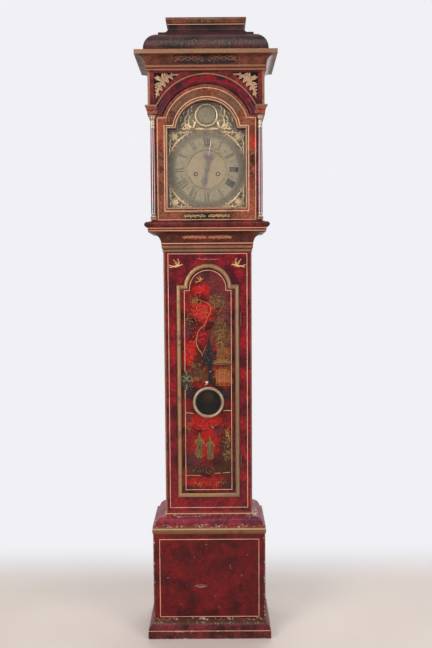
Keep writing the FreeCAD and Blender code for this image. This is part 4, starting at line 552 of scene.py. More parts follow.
# Metal with cloudy tarnish and fine grain. shade can change the tone of a part of it.
def metal(name, bright, dull, rough, tarnish, metallic=0.9, size=0.012, shade=None):
    made, shader, spot = newMaterial(name)
    fine = noise(spot.where, 0.0012, 2.0)
    dirtAndPaintedShade = steps(noise(spot.where, size, 4.0, 0.6, 0.5), 0.62 - 0.3 * tarnish, 0.72)
    tone = blendColour(dirtAndPaintedShade, colour(*bright), colour(*dull))
    if shade:
        tone = shade(spot, tone)
    fill(shader, Base_Color=tone, Metallic=scaled(dirtAndPaintedShade, -0.3, metallic),
         Roughness=plus(scaled(dirtAndPaintedShade, 0.22, rough - 0.06), times(fine, 0.12)))
    bump(shader, fine, 0.0001, 0.25)
    return made


dialCentre = 1847.5


# The outer minute band and the rim of the chapter ring are darker and browner than its numerals' band:
# partly their own tone and partly painted shade, the same all round.
def ringShade(spot, tone):
    band = times(steps(radiusFrom(spot, dialCentre), 0.118, 0.132), 0.7)
    return blendColour(band, tone, colour(80, 70, 56))


# The pendulum's rod is steel and its bob, below 1 m, is faced with brass.
def bobShade(spot, tone):
    return blendColour(under(spot.z, 1.0), tone, colour(178, 142, 84))


# Bare board in a light and a dark tone.
def boardWood(name, tonePair):
    made, shader, spot = newMaterial(name)
    wood, grain = woodGrain(spot.where, *tonePair)
    fill(shader, Base_Color=wood, Roughness=scaled(grain, 0.2, 0.6))
    bump(shader, grain, 0.0008, 0.5)
    return made


# Clear old glass. A shadow ray passes straight through it, so that what is behind it is lit.
def glassMaterial(name, tone, through):
    made, shader, spot = newMaterial(name)
    tree = made.node_tree
    smear = noise(spot.where, 0.05, 3.0, 0.6)
    fill(shader, Base_Color=tone, Transmission_Weight=1.0, IOR=1.46,
         Roughness=times(steps(smear, 0.5, 0.8), 0.006))
    bump(shader, smear, 0.0002, 0.03)
    mixShaders(tree.nodes["Material Output"], put(tree, "LightPath").outputs["Is Shadow Ray"], shader,
               put(tree, "BsdfTransparent", Color=through))
    return made


glass = glassMaterial("oldGlass", (0.97, 0.97, 0.95, 1), (0.95, 0.95, 0.93, 1))
brass = metal("movementBrass", (204, 174, 108), (126, 98, 56), 0.3, 0.3)
steel = metal("polishedSteel", (150, 150, 152), (84, 80, 80), 0.26, 0.3)
blackSteel = metal("oldHandSteel", (108, 97, 102), (54, 46, 50), 0.34, 0.55, 0.3, 0.005)
weightBrass = metal("weightBrass", (176, 146, 88), (98, 76, 44), 0.36, 0.6, size=0.04)
hingeBrass = metal("hingeBrass", (104, 66, 48), (56, 34, 30), 0.4, 0.6, 0.4, 0.007)
castGilt = metal("castGilt", (208, 180, 138), (124, 104, 80), 0.26, 0.45, 0.55, 0.008)
gut = metal("gutLine", (176, 146, 96), (116, 90, 54), 0.5, 0.5, 0.3, 0.004)
finish.update({
    # The gilded woods below have painted shade on their sides, and the door lip's right side is greyed as
    # painted shade.
    "trunk_door_moulding": gildedWood("doorLipGilding", "lipLeaf", 0.55, 1.0, (134, 104, 90)),
    "lenticle_ring": gildedWood("lenticleGilding", "greyLeaf", 0.45, 0.85),
    "spandrel_frets": gildedWood("fretGilding", "paleLeaf", 0.35, 0.9),
    "bell": metal("bellMetal", (196, 184, 150), (120, 108, 78), 0.28, 0.4, size=0.02),
    "door_lock": metal("lockBrass", (70, 64, 50), (44, 40, 34), 0.4, 0.7, 0.4, 0.007),
    "dial_plate": metal("dialPlateBrass", (112, 96, 74), (72, 62, 48), 0.4, 0.6, 0.4, 0.02),
    "chapter_ring": metal("chapterRingBrass", (130, 117, 92), (102, 90, 70), 0.38, 0.6, 0.3, 0.012,
                          ringShade),
    # The spandrels' ground under the cast scrolls is dark brown: painted shade in the hollows between them.
    "dial_spandrels": metal("castGround", (96, 82, 60), (56, 48, 36), 0.42, 0.6, 0.5, 0.008),
    "pendulum": metal("pendulumMetal", (140, 138, 138), (84, 80, 80), 0.3, 0.3, shade=bobShade),
    "seatboard": boardWood("oldPine", woods["seat"]), "backboard": boardWood("darkInside", woods["shadow"]),
    # Painted shade: the lenticle's glass is tinted dark and passes little light, so the trunk behind it looks
    # dark.
    "lenticle_glass": glassMaterial("darkGlass", (0.32, 0.31, 0.30, 1), (0.3, 0.3, 0.28, 1)),
    "minute_hand": blackSteel, "hour_hand": blackSteel, "going_weight": weightBrass,
    "strike_weight": weightBrass, "trunk_hinge_case_leaves": hingeBrass,
    "trunk_hinge_door_leaves": hingeBrass, "hood_door_glass": glass, "hood_side_glasses": glass,
    "line_tops": gut, "going_line": gut, "strike_line": gut, "lock_bolt": steel, "anchor": steel,
    "hammer": steel,
})
for name, node in nodes.items():
    node.data.materials.clear()
    node.data.materials.append(finish.get(name, brass))
print("every CAD node has a finish")


# Floor and room

# Floor: a wide disc, a grid of angle and radius, that fades into the wall as seen directly or through glass.
floorSizes = {"radius": 9000, "middle": 18, "top": -0.2, "rings": 24, "spokes": 96, "near": 1.1, "far": 3.2,
              "wall": 0.3, "fade": 0.9}
ringAt = np.linspace(floorSizes["middle"], floorSizes["radius"], floorSizes["rings"])[None, :]
spokeAt = np.linspace(0, 2 * pi, floorSizes["spokes"], endpoint=False)[:, None]
floorPoints = np.stack([ringAt * np.cos(spokeAt), ringAt * np.sin(spokeAt),
                        np.full_like(ringAt * spokeAt, floorSizes["top"])], -1)
floorFaces = gridFaces(floorSizes["spokes"], floorSizes["rings"], True, False)[:, ::-1].tolist()
floorPaint, floorShader, floorSpot = newMaterial("paleFloor")
floor = addMesh("floor", floorPoints * mm, floorFaces, floorPaint, smoothed=False)

wallTone = colour(240, 240, 245)


# 1 for what the camera sees directly or through glass.
def seenRays(tree):
    path = put(tree, "LightPath").outputs
    return most(path["Is Camera Ray"], path["Is Transmission Ray"])


floorTree = floorPaint.node_tree
floorFar = most(steps(longSide(floorSpot.x, floorSpot.y), floorSizes["near"], floorSizes["far"]),
                steps(floorSpot.y, floorSizes["wall"], floorSizes["fade"]))
fill(floorShader, Roughness=0.55, Base_Color=blendColour(noise(floorSpot.where, 0.3, 4.0),
                                                         colour(222, 207, 197), colour(232, 219, 210)))
mixShaders(floorTree.nodes["Material Output"], times(floorFar, seenRays(floorTree)), floorShader,
           put(floorTree, "Emission", Color=wallTone))

# The room is pale behind the clock and dimmer in front of it, where the camera stands.
world = bpy.data.worlds.new("paleRoom")
world.use_nodes = True
bpy.context.scene.world = world
worldTree = world.node_tree
roomWay = put(worldTree, "SeparateXYZ", Vector=put(worldTree, "TexCoord").outputs["Generated"]).outputs[1]
room = fill(worldTree.nodes["Background"], Strength=1.0, Color=blendColour(
    steps(roomWay, -0.25, 0.35), colour(96, 94, 96), colour(206, 208, 212)))
mixShaders(worldTree.nodes["World Output"], seenRays(worldTree), room,
           put(worldTree, "Background", Color=wallTone))
print("floor and room made")


# Paint and raised work

# Old paint: its tone varies a little, and turns to the worn one where a cloud is thick.
def paint(name, tone, worn, wear, metallic=0.0, rough=0.42, size=0.006):
    made, shader, spot = newMaterial(name)
    clouds = noise(spot.where, size, 3.0, 0.6, 0.4)
    thin = steps(clouds, 0.66 - 0.3 * wear, 0.74)
    full = tinted(colour(*tone), scaled(noise(spot.where, 0.02, 2.0), 0.5, 0.74))
    fill(shader, Base_Color=blendColour(thin, full, colour(*worn)),
         Metallic=scaled(thin, -metallic * 0.8, metallic), Roughness=scaled(clouds, 0.3, rough - 0.15))
    bump(shader, clouds, 0.0002, 0.3)
    return made


paints = {
    "line": paint("pinkGoldLine", (232, 182, 150), (160, 84, 64), 0.3),
    "gold": paint("goldPaint", (206, 146, 80), (120, 66, 40), 0.4, 0.3),
    "paleGold": paint("paleGoldPaint", (236, 200, 130), (150, 96, 52), 0.3, 0.3),
    "olive": paint("oliveGoldPaint", (136, 106, 58), (84, 54, 32), 0.45, 0.2),
    "dark": paint("darkPaint", (30, 22, 27), (64, 26, 30), 0.4, 0.0, 0.36, 0.008),
    "orange": paint("orangePaint", (160, 82, 38), (104, 42, 30), 0.5, size=0.004),
    "umber": paint("umberPaint", (92, 54, 40), (120, 60, 44), 0.5, size=0.005),
    "moss": paint("mossPaint", (120, 90, 52), (110, 60, 40), 0.6, size=0.005),
    "dimGold": paint("dimGoldPaint", (158, 108, 70), (104, 62, 44), 0.45, 0.2),
    "deepBrown": paint("deepBrownPaint", (34, 20, 20), (88, 34, 30), 0.5, size=0.005),
    "crimson": paint("crimsonPaint", (146, 40, 36), (90, 40, 36), 0.45, size=0.005),
    "scarlet": paint("scarletPaint", (190, 30, 30), (120, 22, 30), 0.35),
    "white": paint("whitePaint", (236, 228, 206), (180, 150, 120), 0.2),
    "numeral": paint("numeralWax", (44, 36, 42), (84, 72, 66), 0.2, 0.0, 0.4, 0.004),
    "wornNumeral": paint("wornNumeralWax", (62, 55, 48), (108, 97, 78), 0.65, 0.0, 0.4, 0.004),
}


# A smooth line through rows of x, z and half width: a Catmull-Rom spline, all spans worked out at once.
def smooth(points, steps=5, closed=False):
    points = np.asarray(points, float)
    if closed:
        ring = np.vstack([points[-1:], points, points[:2]])
    else:
        ring = np.vstack([2 * points[:1] - points[1:2], points, 2 * points[-1:] - points[-2:-1]])
    parts = (ring[:-3], ring[1:-2], ring[2:-1], ring[3:])
    before, begin, end, after = (part[:, None, :] for part in parts)
    share = (np.arange(steps) / steps)[None, :, None]
    line = 0.5 * (2 * begin + (end - before) * share
                  + (2 * before - 5 * begin + 4 * end - after) * share ** 2
                  + (3 * begin - before - 3 * end + after) * share ** 3)
    line = line.reshape(-1, 3)
    if not closed:
        line = np.vstack([line, points[-1:]])
    line[:, 2] = np.maximum(line[:, 2], 0.06)
    return line


# Mitre directions to the left of a line: the sum of both edges' normals over one plus their dot product.
def leftOf(line, closed):
    edges = np.roll(line, -1, 0)[:, :2] - line[:, :2]
    if not closed:
        edges[-1] = edges[-2]
    normals = np.stack([-edges[:, 1], edges[:, 0]], 1) / np.maximum(np.hypot(*edges.T), 1e-9)[:, None]
    last = np.roll(normals, 1, 0)
    if not closed:
        last[0] = normals[0]
    return (normals + last) / np.maximum(1 + (normals * last).sum(1), 0.35)[:, None]


# Closed crowned ribs laid on a surface. Across a rib, s runs from -1 to 1 and its height is (1 - s^4) times
# the given height; its back is sunk a little below the surface. lay turns across, up and lift into x, y, z.
def ribs(name, strokes, lay, material, body, height=0.3, across=5, sunk=0.15, replaces=()):
    share = np.linspace(-1, 1, across)
    share = np.concatenate([share, share[-2:0:-1]])
    lift = height * (1 - np.abs(share) ** 4)
    lift[across - 1:] = -sunk
    lift[0] = -sunk
    points, faces, caps, start = [], [], [], 0
    for line, closed in strokes:
        aside = share[None, :, None] * line[:, None, 2:]
        flat = line[:, None, :2] + leftOf(line, closed)[:, None, :] * aside
        risen = np.where(lift > 0, lift * np.minimum(1.0, line[:, 2:] / (0.6 * height + 0.01)), lift)
        points.append(lay(flat[..., 0], flat[..., 1], risen).reshape(-1, 3))
        faces.append(gridFaces(len(line), len(share), closed, True) + start)
        if not closed:
            ring = np.arange(len(share)) + start
            caps += [ring.tolist(), (ring[::-1] + (len(line) - 1) * len(share)).tolist()]
        start += len(line) * len(share)
    made = addMesh(name, np.concatenate(points) * mm, np.concatenate(faces).tolist() + caps, material)
    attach(made, body)
    if replaces:
        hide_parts(*replaces)
    return made


# A flat front at depth y.
def flatAt(front):
    return lambda across, up, lift: np.stack([across, front - lift + np.zeros_like(across), up], -1)


# The front face of a CAD node, or a flat that stands proud of it.
def onFront(node, proud=0.0):
    return flatAt(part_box(node)[0][1] / mm - proud)


# Lays ribs a little above the surface that lay gives, so that one layer of paint covers another.
def raised(lay, rise):
    return lambda across, up, lift: lay(across, up, lift + rise * (lift > 0))


# A moulding's arc from low to high, each a reach and a height; up is measured in mm along the arc.
# Side 1 bulges out and side -1 is hollow, and a point is the arc's centre plus the radius at its angle.
def curveAt(front, low, high, radius, side):
    low, high = np.array(low, float), np.array(high, float)
    chord = high - low
    long = np.hypot(*chord)
    aside = np.array([-chord[1], chord[0]]) / long
    centre = (low + high) / 2 + aside * np.sqrt(radius ** 2 - long ** 2 / 4) * side
    begin = np.arctan2(low[1] - centre[1], low[0] - centre[0])
    turn = (np.arctan2(high[1] - centre[1], high[0] - centre[0]) - begin + pi) % (2 * pi) - pi

    def lay(across, up, lift):
        angle = begin + turn * up / (abs(turn) * radius)
        out = radius + lift * side
        away = front - centre[0] - out * np.cos(angle)
        return np.stack([across, away, centre[1] + out * np.sin(angle)], -1)
    return lay, abs(turn) * radius


# An open stroke, smooth through rows of x, z and half width. drawn makes one from each list of rows.
def stroke(points, steps=5):
    return smooth(points, steps), False


def drawn(*rows):
    return [stroke(row) for row in rows]


# A leaf or curl from (x, z): its heading, in degrees clockwise from straight up, changes by bend along it.
# A leaf's half width is a sine bulge, and a curl's narrows from its root and its bend tightens.
def frond(x, z, heading, length, width, bend=0.0, curl=False):
    share = np.linspace(0, 1, 9 if curl else 6)
    turned = np.radians(heading + bend * (share ** 1.7 if curl else share))
    middle = (turned[1:] + turned[:-1]) / 2
    step = length / (len(share) - 1)
    xs = x + np.concatenate([[0], np.cumsum(np.sin(middle) * step)])
    zs = z + np.concatenate([[0], np.cumsum(np.cos(middle) * step)])
    wide = width * (1 - 0.75 * share) if curl else width * np.sin(pi * (0.04 + 0.93 * share) ** 0.8)
    return smooth(np.stack([xs, zs, wide], 1), 3), False


def fronds(*rows):
    return [frond(*row) for row in rows]


# Moves strokes: turned clockwise by degrees, scaled, mirrored where flip is -1, then put at (x, z).
def moved(strokes, x=0.0, z=0.0, size=1.0, turn=0.0, flip=1):
    sine, cosine = np.sin(radians(turn)), np.cos(radians(turn))
    made = []
    for line, closed in strokes:
        across, up = line[:, 0] * size * flip, line[:, 1] * size
        made.append((np.stack([x + across * cosine + up * sine, z - across * sine + up * cosine,
                               line[:, 2] * size], 1), closed))
    return made


# Strokes with their copies on the other side of the middle.
def mirrored(strokes):
    return strokes + moved(strokes, flip=-1)


# Bends strokes round a centre: across becomes an arc's length at the radius, clockwise from the top.
def roundArc(strokes, centre, radius):
    made = []
    for line, closed in strokes:
        angle = line[:, 0] / radius
        far = radius + line[:, 1]
        made.append((np.stack([far * np.sin(angle), centre + far * np.cos(angle), line[:, 2]], 1), closed))
    return made


# A scatter of small leaves and curls in an oval, from a fixed seed.
def foliage(x, z, wide, high, count, length, width, seed, curls=0.4, fan=360, lean=0):
    dice = np.random.default_rng(seed)
    made = []
    for number in range(count):
        far, angle = dice.random() ** 0.6, dice.random() * 2 * pi
        made.append(frond(x + wide * far * np.cos(angle), z + high * far * np.sin(angle),
                          lean + (dice.random() - 0.5) * fan, length * (0.6 + 0.8 * dice.random()),
                          width * (0.7 + 0.6 * dice.random()), (dice.random() - 0.5) * 240,
                          dice.random() < curls))
    return made


def leafage(*rows):
    return [leaf for row in rows for leaf in foliage(*row)]


# A line through corners, with points every so many mm whose width varies a little by hand.
def handLine(corners, width, every=35.0, seed=1, closed=True):
    corners = np.array(corners, float)
    ends = np.roll(corners, -1, 0) if closed else corners[1:]
    begins = corners if closed else corners[:-1]
    dice = np.random.default_rng(seed)
    runs = []
    for begin, end in zip(begins, ends):
        parts = max(1, int(np.hypot(*(end - begin)) // every))
        share = np.arange(parts)[:, None] / parts
        runs.append(begin + (end - begin) * share)
    line = np.vstack(runs if closed else runs + [corners[-1:]])
    wide = width * (0.85 + 0.3 * dice.random(len(line)))
    return np.column_stack([line, wide]), closed


# An outline with a round arch between square shoulders, anticlockwise from its lower left corner.
def archOutline(half, bottom, shoulder, arch, centre, points=40):
    low = np.arcsin((shoulder - centre) / arch)
    angle = np.linspace(low, pi - low, points)
    curve = np.stack([arch * np.cos(angle), centre + arch * np.sin(angle)], 1)
    return np.vstack([[(-half, bottom), (half, bottom), (half, shoulder)], curve, [(-half, shoulder)]])


# The four corners of an upright rectangle, anticlockwise.
def box(left, low, right, high):
    return [(left, low), (right, low), (right, high), (left, high)]


# Fine gilt lines round the fronts.
lines = {
    "base": {"front": "base_front_panel", "body": "case", "width": 1.5,
             "corners": box(-196.5, 81, 196.5, 396)},
    "trunk": {"front": "trunk_front_frame", "body": "case", "width": 1.5,
              "corners": box(-155, 509, 155, 1524)},
    "trunkDoor": {"front": "trunk_door_panel", "body": "trunk_door", "width": 1.4,
                  "corners": archOutline(92, 582, 1380, 71.4, 1388)},
    "hoodDoorOuter": {"front": "hood_door_frame", "body": "hood_door", "width": 1.3,
                      "corners": archOutline(187, 1653, 2038, 162, archCentre)},
    "hoodDoorInner": {"front": "hood_door_frame", "body": "hood_door", "width": 1.7,
                      "corners": archOutline(161, 1686, 2008.5, 129, archCentre)},
}
for number, (name, line) in enumerate(lines.items()):
    ribs(name + "Line", [handLine(line["corners"], line["width"], seed=number)], onFront(line["front"]),
         paints["line"], line["body"], height=0.25)


# An outer face of trunk or base, half from the middle. Across runs forward to back on the right and back to
# forward on the left.
def sideAt(half, side):
    return lambda across, up, lift: np.stack([side * (half + lift), side * across,
                                              up + np.zeros_like(across)], -1)


sideLines = {"trunkSide": {"half": 173, "front": -34, "back": 130, "low": 509, "high": 1524, "width": 1.5},
             "baseSide": {"half": 222, "front": -80, "back": 130, "low": 81, "high": 396, "width": 1.5}}
for name, line in sideLines.items():
    for side, label in ((-1, "Left"), (1, "Right")):
        near, far = sorted((side * line["front"], side * line["back"]))
        corners = box(near, line["low"], far, line["high"])
        ribs(name + label + "Line", [handLine(corners, line["width"], seed=line["half"])],
             sideAt(line["half"], side), paints["line"], "case", height=0.25)

# A soft gilt edge round the sight of the hood door.
sightEdge = {"outline": archOutline(152.3, 1696.2, 2001.8, 119.3, archCentre), "width": 3.4, "height": 1.6}
ribs("sightGilding", [handLine(sightEdge["outline"], sightEdge["width"], seed=12)],
     onFront("hood_door_frame"), gildedWood("sightGilt", "paleLeaf", 0.5, 0.9), "hood_door",
     height=sightEdge["height"], across=7)

# A painted highlight along the minute hand's blade: a low ridge in pale steel, its crest given as reaches
# from the hub with half widths.
handRidge = {"turn": 8.5, "height": 0.5, "crest": [(50, 0.63), (80, 0.99), (100, 0.9), (113, 0.36)]}
crest = [stroke([(0, reach, half) for reach, half in handRidge["crest"]])]
ribs("minuteHandHighlightRidge", moved(crest, 0, dialCentre, 1.0, handRidge["turn"]), onFront("minute_hand"),
     metal("paintedHighlightSteel", (206, 192, 176), (150, 138, 126), 0.3, 0.3, 0.3, 0.01), "centre",
     height=handRidge["height"])

# A fine wavy crack near the top of the trunk.
trunkCrack = [(-42, 1503, 0.3), (-32, 1504.5, 0.8), (-20, 1501.5, 0.6), (-8, 1503.5, 0.9), (5, 1501, 0.5),
              (17, 1503, 0.8), (30, 1501, 0.6), (45, 1503.5, 0.3)]
onTrunk = onFront("trunk_front_frame")
ribs("trunkCrack", [stroke(trunkCrack)], onTrunk, paints["line"], "case", height=0.2)

# Old damage on the base front: a scratch down to the gesso, small knocks and a shrinkage crack.
baseScars = drawn([(-62, 206, 0.3), (-50, 207, 1.2), (-36, 204, 1.0), (-24, 206, 1.4), (-8, 205, 0.3)],
                  [(-48, 201, 0.2), (-34, 199, 0.8), (-18, 201, 0.2)],
                  [(-54, 211, 0.2), (-30, 212, 0.5), (-12, 210, 0.2)])
baseScars += [frond(x, z, heading, 6, half) for x, z, heading, half in
              ((80, 287, 60, 1.6), (83, 281, 140, 1.0), (-166, 238, 20, 1.5), (-14, 374, 80, 1.2),
               (36, 118, 30, 1.1), (128, 246, 0, 1.0), (-118, 132, 70, 1.0), (150, 330, 40, 0.9),
               (-60, 322, 10, 0.8), (20, 166, 120, 0.9))]
onBase = onFront("base_front_panel")
ribs("baseScars", baseScars, onBase, paint("bareGesso", (206, 168, 150), (150, 90, 80), 0.5), "case",
     height=0.15)
ribs("baseCrack", [handLine([(-72, 392), (-71, 300), (-69, 214)], 0.5, 12, 51, False),
                   handLine([(-68, 205), (-70, 160)], 0.3, 12, 52, False)],
     onBase, paint("crackShadow", (52, 22, 22), (90, 26, 26), 0.6), "case", height=0.12)
print("painted lines made")

unitBird = drawn([(-0.5, -0.1, 0.02), (-0.2, -0.12, 0.13), (0.15, 0.0, 0.15), (0.45, 0.1, 0.08),
                  (0.6, 0.16, 0.075), (0.74, 0.13, 0.01)],
                 [(0.02, 0.05, 0.1), (-0.18, 0.36, 0.13), (-0.5, 0.74, 0.02)],
                 [(0.14, 0.06, 0.09), (0.2, 0.4, 0.12), (0.1, 0.88, 0.02)],
                 [(-0.42, -0.1, 0.05), (-0.7, -0.1, 0.07), (-1.0, 0.02, 0.01)],
                 [(-0.42, -0.14, 0.05), (-0.68, -0.25, 0.06), (-0.95, -0.3, 0.01)])
featherLines = drawn([(-0.05, 0.2, 0.015), (-0.3, 0.5, 0.02), (-0.42, 0.62, 0.01)],
                     [(0.2, 0.25, 0.015), (0.16, 0.5, 0.02), (0.13, 0.7, 0.01)])
cornerBirds = {"left": -120, "right": 118, "up": 1478, "size": 31, "turn": 4}


def inCorners(strokes):
    up, size, turn = cornerBirds["up"], cornerBirds["size"], cornerBirds["turn"]
    return (moved(strokes, cornerBirds["left"], up, size, turn)
            + moved(strokes, cornerBirds["right"], up, size, -turn, -1))


ribs("cornerBirds", inCorners(unitBird), onTrunk, paints["paleGold"], "case", height=0.5)
ribs("cornerBirdFeathers", inCorners(featherLines), onFront("trunk_front_frame", 0.35), paints["olive"],
     "case")

# The garden scene on the trunk door, in the traditional gilt-on-red manner, drawn afresh.
onDoor = onFront("trunk_door_panel")

robe = drawn([(0, 86, 2), (0, 82, 8), (0, 70, 12), (0, 50, 13), (0, 30, 14.5), (1, 12, 17), (1, 1, 16)],
             [(5, 80, 4), (13, 70, 6), (19, 56, 4)], [(-5, 80, 4), (-13, 69, 6), (-18, 57, 4)],
             [(0, 86, 2), (0, 90, 4.6), (0, 95, 4.2), (0, 99, 0.6)],
             [(-2, 98, 1.5), (0, 104, 2.2), (3, 107, 0.4)])
robeFolds = drawn([(-4, 72, 0.5), (-6, 42, 0.9), (-9, 6, 0.5)], [(3, 70, 0.5), (5, 38, 0.9), (5, 5, 0.5)],
                  [(-9, 50, 0.4), (0, 46, 0.8), (9, 51, 0.4)], [(8, 32, 0.4), (10, 18, 0.6), (11, 4, 0.4)],
                  [(-14, 70, 0.3), (-9, 64, 0.6), (-2, 66, 0.3)],
                  [(14, 70, 0.3), (8, 63, 0.6), (3, 66, 0.3)])
figures = [(-38, 713, 0.95, 1), (6, 707, 0.87, -1)]


# Puts a robe's strokes where both figures stand.
def onFigures(strokes):
    return moved(strokes, *figures[0]) + moved(strokes, *figures[1])


garden = {
    "dark": drawn([(3, 1206, 0.6), (3, 1180, 7), (4, 1150, 16), (3, 1120, 25), (3, 1098, 25), (7, 1084, 13),
                   (9, 1060, 10), (9, 1040, 11), (12, 1010, 14)])
        + leafage((6, 1122, 26, 44, 60, 15, 2.8, 3, 0.0, 100, 180), (62, 1190, 34, 70, 44, 9, 1.5, 4, 0.2),
                  (-64, 1080, 24, 40, 18, 9, 1.4, 5, 0.2), (56, 1330, 30, 40, 20, 9, 1.4, 6, 0.2),
                  (72, 748, 20, 56, 40, 10, 1.8, 7, 0.2), (-40, 1300, 46, 44, 22, 8, 1.3, 8, 0.2),
                  (-20, 850, 70, 30, 18, 8, 1.4, 9, 0.2), (-10, 770, 60, 50, 20, 8, 1.4, 10, 0.2))
        + drawn([(-80, 966, 12), (-68, 967, 15), (-56, 965, 11)],
                [(56, 968, 10), (66, 970, 14), (80, 969, 13)], [(-52, 667, 3), (-26, 668, 6), (4, 666, 3)]),
    "orange": drawn([(32, 1032, 26), (58, 1033, 31), (84, 1032, 26)])
        + leafage((-46, 1034, 20, 12, 12, 9, 2.4, 66), (-20, 604, 60, 14, 16, 9, 2.2, 67)),
    "scarlet": leafage((-28, 1386, 24, 12, 26, 9, 3.2, 61, 0.0), (-28, 1298, 34, 32, 60, 10, 3.4, 62, 0.0),
                       (-70, 1140, 18, 44, 34, 10, 3.2, 63, 0.0), (-20, 850, 60, 26, 44, 10, 3.2, 64, 0.0),
                       (-30, 1200, 26, 34, 20, 9, 2.6, 65, 0.0)),
    "olive": onFigures(robe)
        + drawn([(18, 1090, 3), (38, 1096, 7), (60, 1098, 8), (82, 1095, 6), (94, 1089, 2)])
        + leafage((-38, 740, 14, 38, 60, 5.5, 1.5, 83, 0.0), (6, 732, 12, 34, 54, 5.5, 1.5, 84, 0.0),
                  (-48, 1342, 26, 18, 26, 13, 1.6, 11), (36, 1342, 26, 26, 34, 13, 1.6, 12),
                  (-64, 1262, 20, 34, 22, 12, 1.4, 13), (52, 1222, 26, 42, 40, 12, 1.4, 14),
                  (-34, 1078, 30, 26, 24, 11, 1.3, 15), (64, 1132, 24, 20, 22, 11, 1.3, 16),
                  (-78, 842, 12, 32, 14, 11, 1.3, 17), (72, 724, 16, 30, 26, 12, 1.3, 18, 0.3, 120),
                  (-24, 660, 60, 12, 18, 9, 1.2, 19), (40, 1270, 30, 18, 16, 12, 1.3, 20),
                  (58, 1170, 34, 56, 60, 10, 1.5, 21), (60, 1310, 30, 50, 40, 10, 1.3, 22),
                  (-40, 1300, 44, 44, 34, 9, 1.2, 23), (74, 750, 18, 58, 60, 9, 1.5, 24),
                  (-70, 1010, 18, 26, 20, 9, 1.5, 25)),
    "gold": drawn([(-62, 1328, 0.5), (-44, 1345, 0.8), (-18, 1338, 0.9), (4, 1326, 1.0), (12, 1310, 1.1),
                   (8, 1290, 1.1), (-4, 1268, 1.2), (-12, 1246, 1.3), (-30, 1230, 1.4), (-40, 1214, 1.4),
                   (-44, 1190, 1.5), (-46, 1172, 1.6), (-38, 1150, 2.0), (-28, 1136, 1.7),
                   (-22, 1120, 0.9)],
                  [(-30, 1232, 0.9), (-20, 1238, 0.7), (-6, 1240, 0.4)],
                  [(-44, 1190, 0.9), (-54, 1178, 0.7), (-58, 1160, 0.4)],
                  [(-22, 1128, 0.8), (-12, 1150, 0.8), (-6, 1162, 0.4)],
                  [(12, 1310, 0.8), (24, 1316, 0.6), (30, 1328, 0.4)])
        + [stroke([(x, 1002, 0.7), (x, 1030, 0.8), (x, 1062, 0.7)]) for x in (31, 45, 64, 86)]
        + [stroke([(30, z, 0.6), (58, z + 1, 0.8), (87, z, 0.6)]) for z in (1003, 1022, 1063)]
        + [stroke([(50, z, 0.4), (56, z + 1, 0.5), (61, z, 0.4)]) for z in (1028, 1036, 1044, 1052)]
        + drawn([(18, 1100, 0.4), (40, 1106, 0.9), (62, 1108, 0.9), (84, 1104, 0.9), (96, 1094, 0.4)],
                [(20, 1084, 0.4), (56, 1088, 0.8), (92, 1083, 0.4)])
        + [stroke([(46 - half, z, 0.4), (46, z + 4, 1.1), (46 + half, z, 0.4)])
           for half, z in ((15, 1170), (12, 1188), (9, 1205), (6, 1220))]
        + [stroke([(46 + side, low, 0.5), (46 + side, low + 14, 0.5)], 2)
           for side, low in ((-9, 1156), (9, 1156), (-7, 1174), (7, 1174), (-5, 1191), (5, 1191), (0, 1224))]
        + leafage((4, 1130, 18, 36, 9, 6, 0.7, 31, 0.0), (-30, 1290, 30, 26, 16, 10, 0.8, 32),
                  (76, 806, 12, 26, 18, 9, 1.1, 33, 0.2, 140), (49, 612, 20, 6, 12, 7, 0.9, 34),
                  (-46, 610, 26, 8, 10, 7, 0.8, 35), (-66, 1080, 16, 40, 14, 10, 0.8, 36))
        + drawn([(86, 770, 0.6), (80, 795, 0.9), (76, 822, 0.7), (82, 838, 0.4)],
                [(80, 795, 0.5), (70, 806, 0.8), (66, 818, 0.4)])
        + moved(unitBird, -30, 1420, 21, -14) + moved(unitBird, 16, 834, 9, 60),
    "paleGold": [handLine([(-91, 895), (-72, 893), (-58, 890)], 1.2, 8, 41, False),
                 handLine([(60, 900), (74, 903), (91, 901)], 1.4, 8, 42, False),
                 handLine([(-91, 640), (-60, 641), (-30, 639)], 0.9, 8, 43, False),
                 handLine([(24, 648), (36, 649), (48, 648)], 1.1, 8, 44, False),
                 handLine([(54, 649), (70, 651), (84, 652)], 1.1, 8, 45, False)]
        + [stroke([(-15 + 2 * number, 1003, 0.3), (-9 + 3 * number, 1010, 0.7),
                   (-6 + 6 * (number - 1), 1020, 0.4)])
           for number in range(3)],
    "white": [frond(-6, 1014, angle, 8, 1.8) for angle in (-60, -20, 20, 60, 180)]
        + [frond(9, 1056, 0, 5, 1.5)],
}
for number, (name, strokes) in enumerate(garden.items()):
    ribs("garden" + name[0].upper() + name[1:], strokes, raised(onDoor, 0.12 * number), paints[name],
         "trunk_door")
robeDots = leafage((-38, 752, 10, 40, 44, 5.0, 1.9, 81, 0.0), (6, 742, 9, 36, 40, 5.0, 1.8, 82, 0.0))
ribs("gardenFolds", onFigures(robeFolds) + robeDots, raised(onDoor, 0.8), paints["dark"], "trunk_door",
     height=0.25)
print("garden scene made")


